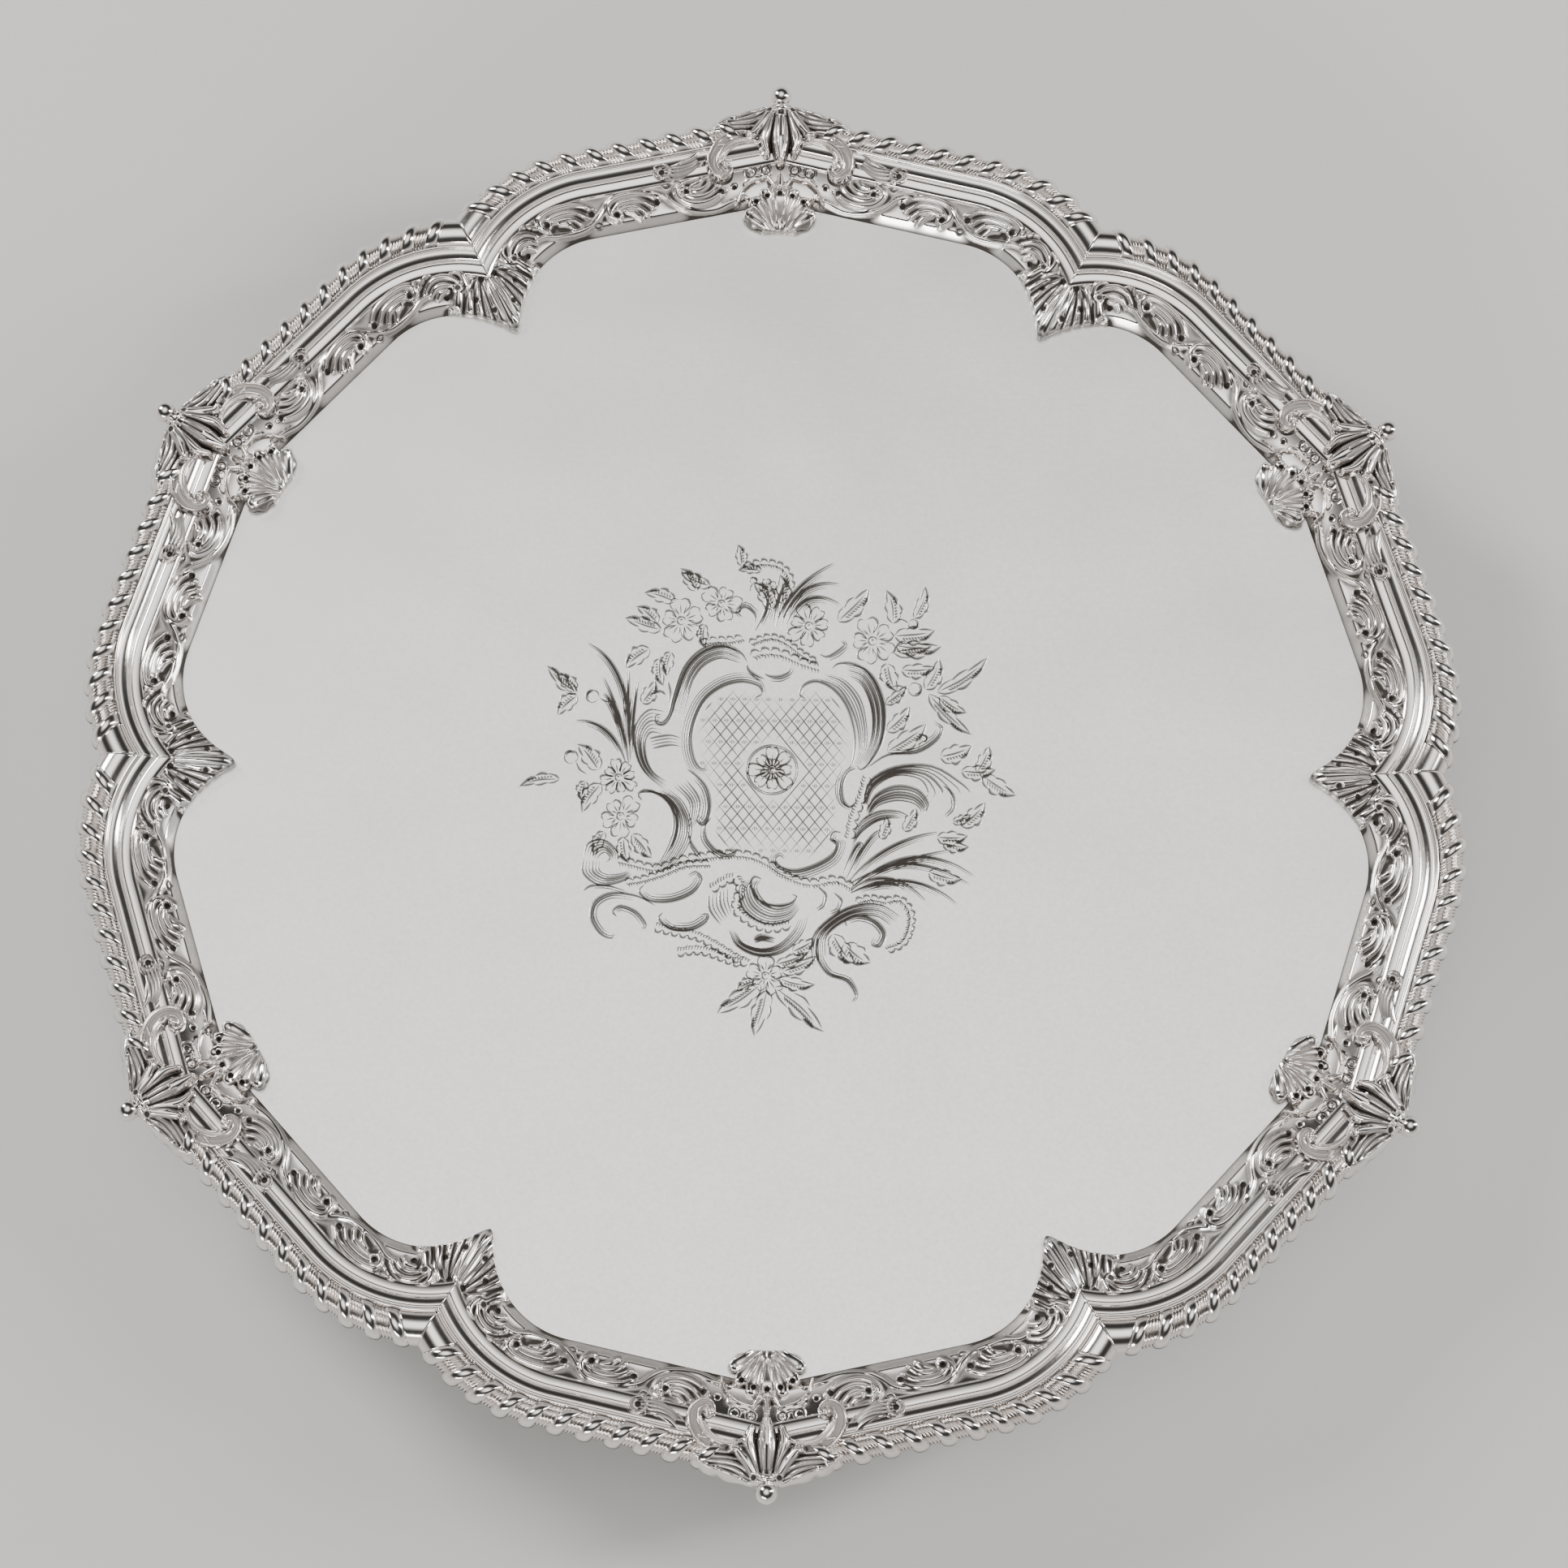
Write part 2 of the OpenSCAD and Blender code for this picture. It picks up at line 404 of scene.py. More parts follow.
def fill_bays(family, shape, material, slot_name):
    """Twelve pieces from one bay's shape and its mirror image, each kept straight in its own frame."""
    quarter = STEP / 4
    right = shape.turned(quarter).mesh(family + "_right")
    left = shape.mirrored().turned(-quarter).mesh(family + "_left")
    for number in range(2 * FOLD):
        name = f"{family}_{number + 1}"
        data, lean = (left, quarter) if number % 2 else (right, -quarter)
        silver_piece(name + "_cast", data, material, [name], (number // 2) * STEP + lean)


def fill_corners(family, shape, material, slot_name):
    """Six pieces from one corner's shape."""
    data = shape.mesh(family)
    for number in range(FOLD):
        name = f"{family}_{number + 1}"
        silver_piece(name + "_cast", data, material, [name], number * STEP)


# ---------------------------------------------------------------- frieze
def frieze_rise(t):
    """Height of the plain frieze above the tray surface: bevel, then a shallow hollow."""
    u = np.clip((t - BEVEL_EDGE) / (FRIEZE_EDGE - BEVEL_EDGE), 0, 1)
    hollow = BEVEL_RISE + (FRIEZE_RISE - BEVEL_RISE) * u**1.5
    bevel = BEVEL_RISE * np.clip((t - TRAY_EDGE) / (BEVEL_EDGE - TRAY_EDGE), 0, 1)
    return np.where(t < BEVEL_EDGE, bevel, hollow)


STEM = [
    (52, 858, 2.5, 0.4), (70, 850, 3.5, 0.8), (90, 841, 4, 0.9), (112, 837, 4, 0.9), (134, 838, 4, 0.9),
    (152, 845, 4, 0.9), (168, 855, 3.5, 0.8), (190, 859, 3.5, 0.7), (215, 855, 3.5, 0.8),
    (238, 848, 4, 0.9), (252, 836, 4, 0.9), (262, 820, 4, 0.9), (276, 806, 4, 0.9), (296, 797, 4, 0.9),
    (318, 792, 4, 0.9), (338, 790, 3.5, 0.9), (350, 784, 3, 0.7),
]
SHELL_CREST = [(20, 893, 4.5, 0.9), (28, 886, 4.5, 0.9), (40, 884, 4, 0.8), (50, 876, 3, 0.6)]


def sprig(relief, x, y, angle):
    """Small cut bud of two strokes beside a leaf."""
    end = (x + 12 * math.cos(angle), y + 12 * math.sin(angle), 1.0, 0.3)
    for lean in (-0.5, 0.5):
        middle = (x + 6 * math.cos(angle + lean), y + 6 * math.sin(angle + lean), 1.6, 0.5)
        relief.cut([(x, y, 1.0, 0.3), middle, end], 0.9)


# Curled leaves: crescents from the outermost in, section, eye, punched hole with its radius, sprig.
LEAVES = [
    ([[(80, 866), (92, 853), (110, 844), (132, 843), (148, 852), (151, 864), (143, 872)],
      [(90, 872), (100, 859), (115, 852), (130, 852), (141, 860)],
      [(101, 876), (109, 865), (120, 860), (131, 862)], [(112, 879), (118, 871), (127, 868)]],
     back_blade, (136, 861), (84, 864, 4.4), (160, 868, 0.2)),
    ([[(176, 850), (194, 856), (218, 855), (240, 848), (251, 836), (247, 822), (234, 816)],
      [(183, 839), (199, 847), (218, 847), (234, 841), (242, 831)],
      [(190, 829), (203, 838), (218, 839), (231, 833)], [(199, 821), (209, 830), (221, 831)]],
     blade, (235, 825), (178, 846, 4.4), (256, 812, -0.4)),
    ([[(270, 832), (289, 837), (314, 833), (336, 824), (349, 811), (345, 799), (333, 795)],
      [(278, 821), (295, 827), (314, 824), (330, 817), (339, 808)],
      [(286, 811), (299, 818), (314, 816), (327, 810)], [(295, 803), (305, 810), (317, 809)]],
     blade, (336, 806), (272, 826, 4.4), (356, 798, 0.1)),
    ([[(350, 800), (369, 801), (387, 793), (398, 776), (401, 758), (390, 744), (375, 743)],
      [(350, 790), (367, 791), (381, 783), (389, 769), (390, 757)],
      [(350, 780), (364, 781), (375, 774), (381, 762)], [(353, 770), (363, 771), (371, 764)]],
     blade, (381, 752), (362, 760, 3.6), None),
]


def curled_leaf(relief, curves, section, eye, hole, bud_place):
    """Overlapping crescents, with a rolled end round a punched hole."""
    height = 1.9
    for curve in curves:
        size = np.sin(np.linspace(0.5, 2.4, len(curve)))
        relief.raise_bar([(x, y, 6.6 * w, height * w**0.5) for (x, y), w in zip(curve, size)], section)
        height = height - 0.12
    x, y = eye
    relief.raise_bar([(x - 1, y, 7.5, 1.5), (x + 1, y, 7.5, 1.5)], dish)
    relief.punch(x, y, 4.4)
    relief.punch(*hole)
    if bud_place:
        sprig(relief, *bud_place)


def notch_fan(relief):
    """Half of the pointed fan of flutes at the notch, mirrored by the next bay."""
    tips = [(352, 738), (354, 718), (357, 700), (361, 684), (366, 668)]
    roots = [(412, 757), (412, 747), (413, 738), (414, 731), (416, 726)]
    for (x0, y0), (x1, y1) in zip(roots, tips):
        middle = ((x0 + x1) / 2 + 3, (y0 + y1) / 2 + 4)
        flute_line = [(x0, y0, 3, 2.3), (*middle, 7.5, 2.9), (x1 + 9, y1 + 2, 8.5, 1.6), (x1, y1, 8, -0.4)]
        relief.raise_bar(flute_line, round_bar, 2.2)
    for (x0, y0), (x1, y1) in zip(tips, tips[1:]):
        x, y = (x0 + x1) / 2, (y0 + y1) / 2
        middle = ((x + 413) / 2 + 3, (y + 736) / 2 + 4)
        relief.cut([(413, 736, 1.2, 0.3), (*middle, 2.0, 1.0), (x, y, 2.6, 1.2)], 0.7)
    relief.raise_bar([(419, 726, 4, 2.6), (402, 696, 8, 3.3), (384, 665, 9, 2.2), (376, 651, 8, 0.2)],
                     round_bar, 2.4)
    for x, y in ((380, 720), (381, 690), (410, 730)):
        relief.punch(x, y, 4.3)


def frieze_relief(xy):
    """Chased ornament of one bay's frieze."""
    t = border_distance(xy)
    relief = Relief(xy, frieze_rise(t))
    relief.raise_bar([(x, y, w + 1.5, h + 0.3) for x, y, w, h in STEM], blade)
    for leaf_parts in LEAVES:
        curled_leaf(relief, *leaf_parts)
    notch_fan(relief)
    relief.raise_bar(SHELL_CREST, dish)
    relief.ring(43, 893, 7)
    relief.ring(21, 897, 6)
    relief.punch(66, 872, 3.5)
    return relief


def frieze_shape():
    """One bay's frieze, from the tray's edge to just under the cast border."""
    rows, runs, arcs = 60, 250, 230
    ts = np.linspace(TRAY_EDGE, FRIEZE_EDGE + 0.5, rows)
    xy = np.stack([bay_row(t, runs, arcs) for t in ts])
    relief = frieze_relief(xy)
    top = blur(relief.height(), 1.1)
    relief.z = top.ravel()
    # painted shade in the frieze's hollows, from how far each point lies below its blurred surroundings
    painted_shade = relief.cavity(5, 2.2)
    plain = frieze_rise(ts)[:, None] + 0 * top
    bottom = np.where(ts[:, None] < LIP_EDGE, -SHEET, plain - SHEET - 0.6)
    keep = np.ones((rows - 1, runs + arcs), bool)
    return slab_solid(Shape(), xy, TRAY_Z + top, TRAY_Z + bottom, keep, painted_shade)


# ---------------------------------------------------------------- cast border
BAND_SECTION = [
    (36.9, 4.6), (37.0, 5.3), (37.3, 5.8), (38.2, 6.1), (39.4, 6.35), (40.2, 6.4), (40.45, 6.2),
    (40.6, 5.95), (40.8, 6.3), (41.1, 6.9), (41.6, 7.3), (42.4, 7.7), (43.2, 8.0), (43.6, 7.95),
    (43.75, 7.75), (43.9, 8.1), (44.2, 8.6), (44.6, 8.75), (44.95, 8.5), (45.2, 7.9), (45.6, 7.4),
]
BORDER_FOOT = 4.4
GADROON_INNER = 45.0
PITCH = 7.97
FIRST_TIP = -42.7
GADROONS = 11
LEAN = 4.4
GADROON_ROWS = 26
SWEEP_START, SWEEP = 34, 156
BOLD_HALF = 2.5


def band_shape(shape):
    """The two smooth bands and the fillet ridge."""
    section = [*BAND_SECTION, (45.6, BORDER_FOOT), (36.9, BORDER_FOOT - 0.6)]
    rows = []
    for t, rise in section:
        row = bay_row(t, 60, 90)
        rows.append(np.column_stack([row, np.full(len(row), TRAY_Z + rise)]))
    return ring_solid(shape, rows)


def gadroon_place(s, t):
    """Plan position at distance s along the border's tip line and t from the arc's centre."""
    angle = RUN_AT - np.clip(s, 0, None) / GADROON_EDGE
    on_arc = arc_point(t, angle)
    back = np.clip(s, None, 0)[..., None] * np.array([math.cos(RUN_SLOPE), -math.sin(RUN_SLOPE)])
    return on_arc + back


def gadroon_wave(q):
    """Lobe height and how far the lobe's tip stands out, for a place q along the tip line."""
    phase = (q - FIRST_TIP + PITCH / 2) % PITCH - PITCH / 2
    rib = (PITCH - 2 * BOLD_HALF) / 3
    bold = 2.0 * np.sqrt(np.clip(1 - np.abs(phase / BOLD_HALF) ** 2.2, 0, 1))
    rib_phase = (np.abs(phase) - BOLD_HALF) / rib % 1 * 2 - 1
    fine = np.clip(1 - rib_phase**2, 0, 1)
    is_bold = np.abs(phase) < BOLD_HALF
    return np.where(is_bold, bold, 0.8 * fine), np.where(is_bold, bold, 0.7 * fine)


def gadroon_rows(q):
    """Rows of points round the gadroon section for places q."""
    lobe, stand = gadroon_wave(q)
    growth = 1.9 * np.clip((q - 5) / 32, 0, 1)
    edge = GADROON_EDGE - 1.1 + growth + stand
    cos_first = math.cos(math.radians(SWEEP_START))
    rows = []
    for u in np.linspace(0, 1, GADROON_ROWS):
        turn = math.radians(SWEEP_START + SWEEP * u)
        w = (cos_first - math.cos(turn)) / (cos_first + 1)
        t = GADROON_INNER + (edge - GADROON_INNER) * w
        s = q - LEAN * (1 - w)
        swell = lobe * min(1, 0.7 + 4 * u)
        rise = 4.9 + (3.6 + swell) * math.sin(turn) + 0.12 * swell * (1 - w)
        rows.append(np.column_stack([gadroon_place(s, t), TRAY_Z + rise]))
    edge_xy = rows[-1][:, :2]
    rows.append(np.column_stack([edge_xy, np.full(len(q), TRAY_Z + BORDER_FOOT - 0.2)]))
    inner = gadroon_place(q - LEAN, np.full(len(q), GADROON_INNER))
    rows.append(np.column_stack([inner, np.full(len(q), TRAY_Z + BORDER_FOOT)]))
    return rows


def gadroon_shape(shape):
    """Bold gadroons with three fine ribs between each two; gives the points where they end."""
    last = FIRST_TIP + PITCH * (GADROONS - 1) + 1.95
    q = np.linspace(FIRST_TIP - 1.2, last, 900)
    rows = np.array(gadroon_rows(q))
    z = rows[:GADROON_ROWS, :, 2]
    # painted shade in the grooves between the lobes, where each point lies below its blurred surroundings
    painted_shade = np.zeros(rows.shape[:2])
    painted_shade[:GADROON_ROWS] = np.clip((blur(z, 5) - z) * 2.2 - 0.1, 0, 1)
    ring_solid(shape, rows, painted_shade)
    return rows[:, -1]


def notch_patch(shape, first):
    """Plain join between the last gadroon and the notch axis."""
    t = np.hypot(*(first[:, :2] - ARC_CENTRE).T)
    from_angle = np.arctan2(first[:, 1] - ARC_CENTRE[1], first[:, 0] - ARC_CENTRE[0])
    cols = 14
    rows = []
    for k in range(len(first)):
        angles = np.linspace(from_angle[k], arc_end(t[k]), cols)
        rows.append(np.column_stack([arc_point(t[k], angles), np.full(cols, first[k, 2])]))
    ring_solid(shape, rows)


def border_shape():
    """One bay's cast moulding: bands, gadroons and the join at the notch."""
    shape = band_shape(Shape())
    notch_patch(shape, gadroon_shape(shape))
    return shape


# ---------------------------------------------------------------- corner cartouche
SCROLL = [
    (24, 930, 6, 3.0), (38, 937, 9, 3.6), (54, 939, 11, 3.9), (72, 934, 12.5, 4.1), (87, 922, 13, 4.2),
    (95, 905, 13, 4.1), (94, 891, 11.5, 3.9), (86, 882.5, 9, 3.7), (77, 883, 7, 3.5), (73.5, 890, 6, 3.5),
    (78, 896, 5, 3.5),
]
TAIL_TOP = [(108, 937), (115, 920), (126, 907), (142, 900), (158, 898), (170, 894)]
TAIL_FOOT = [(108, 922), (112, 904), (122, 888), (138, 877), (155, 873), (170, 874)]


def cartouche_relief(xy):
    """Scroll and leaf ornament that covers a corner's mitre."""
    relief = Relief(xy, np.full(xy.shape[:-1], EMPTY))
    low, mid, high = 4.6, 6.4, 7.2
    relief.raise_bar([(94, 936, 7, 3.0), (110, 921, 12, 3.6), (126, 904, 15, 3.9), (142, 892, 14, 3.9),
                      (158, 886, 12.5, 3.8), (172, 884, 10, 3.4)], round_bar, low)
    for curve in spread_between(TAIL_TOP, TAIL_FOOT, 6)[1:-1]:
        relief.cut([(x, y, 2.4, d) for (x, y), d in zip(curve, (0.5, 1, 1.1, 1.1, 1, 0.5))], 0.6)
    relief.raise_bar([(171, 884, 10, 4.4), (174, 884, 9.5, 4.3)], dish, low)
    relief.raise_bar([(20, 978, 13, 3.0), (42, 967, 18, 3.8), (64, 958, 17, 3.8), (82, 953, 12, 3.5),
                      (97, 949, 6, 3.0)], round_bar, high - 0.6)
    relief.raise_bar([(36, 980, 7, 3.4), (52, 977, 7, 3.7), (66, 969, 6, 3.6)], blade, high - 0.6)
    relief.raise_bar([(62, 972, 6, 3.4), (78, 969, 6, 3.7), (91, 960, 5, 3.6)], blade, high - 0.6)
    relief.raise_bar([(98, 950, 5, 3.7), (99, 950, 5, 3.7)], round_bar, high - 0.6)
    for line in (
        [(22, 984), (36, 977), (50, 971), (66, 966)], [(23, 979), (36, 969), (52, 964), (76, 961)],
        [(23, 975), (32, 963), (48, 957), (84, 955)], [(25, 970), (32, 958), (46, 951), (70, 949)],
    ):
        relief.cut([(x, y, 2.6, 1.0) for x, y in line], 0.5)
    relief.raise_bar(SCROLL, ribbon, mid)
    relief.raise_bar([(79, 893, 7.5, 4.6), (80, 893, 7.5, 4.6)], round_bar, mid)
    relief.raise_bar([(12, 984, 7, 3.9), (22, 966, 10, 4.2), (32, 952, 10, 4.2), (40, 943, 8, 4.2),
                      (46, 943, 6, 4.4)], round_bar, high - 0.4)
    relief.raise_bar([(8, 985, 7, 4.2), (15, 965, 10, 4.7), (21, 946, 11, 4.9), (24, 930, 9, 4.7),
                      (20, 915, 6, 4.2)], round_bar, high - 0.4)
    relief.raise_bar([(0, 988, 9, 4.2), (0, 968, 13, 5.0), (0, 945, 16, 5.4), (0, 925, 14, 5.0),
                      (0, 904, 7, 4.4)], round_bar, high - 0.6)
    relief.raise_bar([(0, 985, 12, 3.8), (0, 992, 10, 3.6)], round_bar, high)
    for line, depth in (
        ([(0, 970), (0, 955), (0, 938)], 1.2), ([(9, 973), (12, 952), (14, 934), (12, 918)], 1.0),
        ([(13, 974), (22, 954), (30, 942)], 0.9), ([(5, 972), (7, 950), (7, 930)], 0.5),
    ):
        relief.cut([(x, y, 2.4, depth) for x, y in line], 0.6)
    relief.punch(17, 980, 4.3)
    relief.punch(172, 884, 4.6)
    return relief


def border_top(xy):
    """Height of the plain border's top above the tray surface."""
    t = border_distance(xy)
    bands = np.interp(t, [p[0] for p in BAND_SECTION], [p[1] for p in BAND_SECTION])
    return np.where(t < FRIEZE_EDGE, frieze_rise(t), bands)


def plan_grid(x, y0, y1, pitch):
    """Square grid from -x to x and from y0 to y1."""
    xs = np.linspace(-x, x, 2 * round(x / pitch) + 1)
    ys = np.linspace(y0, y1, round((y1 - y0) / pitch) + 1)
    return np.stack(np.meshgrid(xs, ys), -1)


def cut_relief(shape, relief, xy, bottom, spread, strength):
    """A closed solid from a relief, trimmed along the outline of its strokes."""
    rows, cols = xy.shape[:2]
    outside = relief.outside.reshape(rows, cols)
    inner = outside < 0
    keep = inner[:-1, :-1] | inner[1:, :-1] | inner[:-1, 1:] | inner[1:, 1:]
    pull = np.clip(outside, 0, SKIRT)[..., None] * relief.toward.reshape(rows, cols, 2)
    top = relief.height()
    filled = top > EMPTY / 2
    ground = blur(np.where(filled, top, top[filled].min()), 0.8)
    relief.z = ground.ravel()
    # painted shade in the relief's hollows and in what was punched and cut
    painted_shade = relief.cavity(spread, strength)
    return slab_solid(shape, xy - pull, TRAY_Z + ground, TRAY_Z + bottom, keep, painted_shade)


def add_ball(shape, centre, radius, collar):
    """A ball with a collar on its inner side, turned about the axis that points to the middle."""
    angles = np.linspace(0, math.pi, 40)
    profile = [(math.sin(a) * radius, math.cos(a) * radius) for a in angles if a < 2.72]
    profile += [(collar * 0.55, -radius * 1.0), (collar, -radius * 1.12), (collar * 1.06, -radius * 1.3),
                (collar * 0.9, -radius * 1.5), (collar * 0.6, -radius * 1.6), (collar * 0.8, -radius * 2.0)]
    around = np.linspace(0, 2 * math.pi, 49)[:-1]
    rows = [[(r * math.cos(a), along, r * math.sin(a)) for a in around] for r, along in profile]
    return turned_solid(shape, np.array(rows) + centre)


def cartouche_shape():
    """The cast corner ornament with its ball."""
    xy = plan_grid(190 * UNIT, 868 * UNIT, 998 * UNIT, 0.2)
    relief = cartouche_relief(xy)
    bottom = np.minimum(border_top(xy), 7.0) - 1.0
    shape = cut_relief(Shape(), relief, xy, bottom, 4, 1.3)
    return add_ball(shape, np.array([0, CORNER_RADIUS, TRAY_Z + BALL_RISE]), BALL_RADIUS, 2.4)


# ---------------------------------------------------------------- inner shell
def ray_rows(middle, angle, reach, spots):
    """A stroke outwards from a spot on the corner axis, from rows of share, half-width and height."""
    c, s = math.cos(angle), math.sin(angle)
    return [(reach * k * s, middle + reach * k * c, w, h) for k, w, h in spots]


def shell_relief(xy):
    """Fan shell with dished lobes, side brackets and small volutes."""
    relief = Relief(xy, np.full(xy.shape[:-1], EMPTY))
    apex, lobe_turn = 800.0, 18.5
    lobe = [(0.26, 6, 1.6), (0.45, 7.5, 3.6), (0.65, 9, 4.6), (0.85, 10.5, 4.9), (0.97, 9.5, 4.6)]
    rib = [(0.24, 2.6, 1.9), (0.5, 2.6, 4.5), (0.75, 2.6, 5.4), (0.95, 2.6, 5.2)]
    relief.raise_bar([(0, 826, 22, 2.2), (0, 850, 32, 4.2), (0, 862, 26, 4.2)], round_bar, 0.6)
    for steps, length, spots, section in (((3, 2, 1, 0), 73, lobe, flute),
                                          ((0.5, 1.5, 2.5), 72, rib, round_bar)):
        for step in steps:
            rows = ray_rows(apex, math.radians(lobe_turn * step), length - 5.0 * step**1.2, spots)
            relief.raise_bar(rows, section, 0.6)
    relief.raise_bar([(20, 886, 5, 4.8), (40, 880, 6, 5.0), (56, 866, 6, 4.8), (62, 848, 5, 4.2)],
                     blade, 0.8)
    relief.raise_bar([(16, 826, 5.5, 2.6), (25, 817, 5.5, 2.6), (38, 817, 5.5, 2.8), (44, 826, 5, 3.0),
                      (36, 832, 4.5, 3.2)], round_bar, 0.4)
    relief.raise_bar([(0, 870, 8, 5.2), (0, 889, 6, 4.6)], round_bar, 1.2)
    relief.raise_bar([(9, 872, 7, 5.0), (18, 886, 5, 4.4)], round_bar, 1.2)
    for x, y in ((0, 861), (18, 858), (34, 849)):
        relief.punch(x, y, 4.0, 1.2)
    return relief


def inner_shell_shape():
    """The cast shell over the inner edge of the frieze."""
    xy = plan_grid(72 * UNIT, 808 * UNIT, 900 * UNIT, 0.16)
    relief = shell_relief(xy)
    bottom = np.minimum(border_top(xy), 3.0) - 0.3
    return cut_relief(Shape(), relief, xy, bottom, 4, 1.2)


# ---------------------------------------------------------------- feet
BACKPLATE_TOP = TRAY_Z - SHEET
TOE_Y = 153.5
PAD = [(6.2, 0.0), (6.5, 0.3), (6.5, 0.9), (6.1, 1.3), (5.2, 1.5), (4.6, 2.0), (3.9, 2.6), (3.0, 3.0)]


def foot_path():
    """The foot's middle line in the corner's plane: volute, knee, ankle and rolled toe."""
    curl = np.linspace(0, 1, 40)
    turn = math.radians(-200) + curl * math.radians(470)
    size = 1.0 + 3.4 * curl
    upper = np.column_stack([145.5 + size * np.cos(-turn), 31.2 + size * np.sin(-turn)])
    bend = smooth_path([(*upper[-1], 0, 0), (153.5, 29.8, 0, 0), (158.2, 24.0, 0, 0), (156.8, 17.0, 0, 0),
                        (151.4, 11.6, 0, 0), (149.4, 7.0, 0, 0), (151.6, 3.6, 0, 0), (155.6, 3.2, 0, 0)], 8)
    curl = np.linspace(0, 1, 30)[1:]
    turn = math.radians(-62) + curl * math.radians(400)
    size = 3.1 - 2.2 * curl
    toe = np.column_stack([154.4 + size * np.cos(turn), 5.9 + size * np.sin(turn)])
    return np.vstack([upper, bend[1:, :2], toe])


def foot_shape():
    """Cast scroll foot: one channelled ribbon from the volute to the toe, on a turned pad."""
    path = foot_path()
    count = len(path)
    u = np.linspace(0, 1, count)
    half = np.interp(u, [0, 0.3, 0.45, 0.62, 0.8, 1.0], [5.2, 5.2, 5.0, 3.4, 3.9, 3.9])
    thick = np.interp(u, [0, 0.25, 0.45, 0.65, 0.85, 1.0], [0.5, 1.0, 2.0, 1.7, 1.1, 0.5])
    way = np.gradient(path, axis=0)
    way /= np.hypot(*way.T)[:, None]
    out = np.column_stack([-way[:, 1], way[:, 0]])
    around = 56
    angles = np.linspace(0, 2 * math.pi, around, endpoint=False)
    rows = []
    for angle in angles:
        across, depth = math.cos(angle), math.sin(angle)
        side = math.copysign(abs(across) ** 0.7, across)
        channel = 1 + 0.34 * math.cos(across * 3.2 * math.pi) * abs(depth) ** 0.4
        lift = math.copysign(abs(depth) ** 0.6, depth) * channel
        spot = path + out * (thick * lift)[:, None]
        rows.append(np.column_stack([half * side, spot[:, 0], spot[:, 1]]))
    shape = ring_solid(Shape(), rows)
    for side in (-1, 1):
        knee_leaf(shape, side)
    around = np.linspace(0, 2 * math.pi, 57)[:-1]
    pad = np.array([[(r * math.cos(a), r * math.sin(a), z) for a in around] for r, z in PAD])
    return turned_solid(shape, pad + (0, TOE_Y, 0), flip=True)


def knee_leaf(shape, side):
    """Three lobes of an acanthus leaf over one half of the knee."""
    for reach, spread, rise in ((13.5, 1.2, 0), (10.5, 4.0, 1.2), (7.2, 6.2, 2.6)):
        u = np.linspace(0, 1, 18)
        along = 155.0 + 4.6 * np.sin(0.3 + u * 2.2)
        height = 30.0 - reach * u + rise * u
        across = side * (0.9 + spread * np.sin(u * 1.9) ** 0.8)
        width = 0.25 + 1.55 * np.sin(math.pi * np.clip(u * 0.92 + 0.06, 0, 1)) ** 0.7
        rows = []
        for angle in np.linspace(0, 2 * math.pi, 14, endpoint=False):
            out, up = width * math.cos(angle), 0.75 * width * math.sin(angle)
            rows.append(np.column_stack([across + out, along + up, height]))
        ring_solid(shape, rows)


def backplate_shape():
    """Scalloped leaf plate between a foot and the underside, its relief facing down."""
    xy = plan_grid(62 * UNIT, 655 * UNIT, 830 * UNIT, 0.25)
    relief = Relief(xy, np.full(xy.shape[:-1], EMPTY))
    for degrees in (0, 40, 80, 118, 152, 180):
        angle = math.radians(degrees)
        reach = 58 + 12 * math.cos(2 * angle)
        spots = [(0.1, 7, 1.4), (0.5, 13, 1.5), (0.85, 13, 1.3), (1.0, 8, 1.1)]
        relief.raise_bar(ray_rows(748.0, angle, reach, spots), flute, 0)
    shape = cut_relief(Shape(), relief, xy, np.zeros(xy.shape[:-1]), 3, 1.0)
    points = np.vstack(shape.points) * [1, 1, -1] + [0, 0, BACKPLATE_TOP + TRAY_Z]
    faces = [face[::-1] for face in shape.faces]
    return Shape().add(points, faces, np.concatenate(shape.painted_shade))


# ---------------------------------------------------------------- engraving
def sweep_line(points, width, taper=0.12):
    """A stroke as rows of x, y, half-width and depth that thins towards both ends."""
    flat = [(x, y, 0, 0) for x, y in points]
    path = smooth_path(flat, 4 if len(flat) > 2 else 3)
    u = np.linspace(0, 1, len(path))
    swell = taper + (1 - taper) * np.sin(math.pi * u**0.85) ** 0.8
    swell[[0, -1]] = 0
    path[:, 2] = 1.35 * width * swell
    path[:, 3] = 0.2 * width**0.7 * swell
    return path


def beside(points, distance):
    """The points moved sideways, to the left of their direction if distance is positive."""
    p = np.array(points, float)
    way = np.gradient(p, axis=0)
    way /= np.maximum(np.hypot(*way.T), 1e-6)[:, None]
    return (p + np.column_stack([-way[:, 1], way[:, 0]]) * distance).tolist()


def turned(points, x, y, angle, size=1.0):
    """The points scaled, turned and moved to x, y."""
    c, s = math.cos(angle), math.sin(angle)
    return [(x + size * (a * c - b * s), y + size * (a * s + b * c)) for a, b in points]


def scroll(points, width, lines=2, gap=-3.4):
    """A bold stroke with finer ones that follow it on one side."""
    strokes = [sweep_line(points, width)]
    for k in range(1, lines + 1):
        trimmed = beside(points, gap * k)[(k + 1) // 2 : len(points) - k // 2]
        if len(trimmed) > 2:
            strokes.append(sweep_line(trimmed, width * (0.62 - 0.09 * k)))
    return strokes


def shading(first, last, count, width=0.7):
    """Lines between two curves, every third one bolder."""
    curves = enumerate(spread_between(first, last, count))
    return [sweep_line(curve.tolist(), width * (1.15 if k % 3 else 1.9)) for k, curve in curves]


def comma(x, y, angle, size, width=1.1):
    """One short curved cut."""
    return sweep_line(turned([(0, 0), (0.5, 0.22), (1, 0)], x, y, angle, size), width)


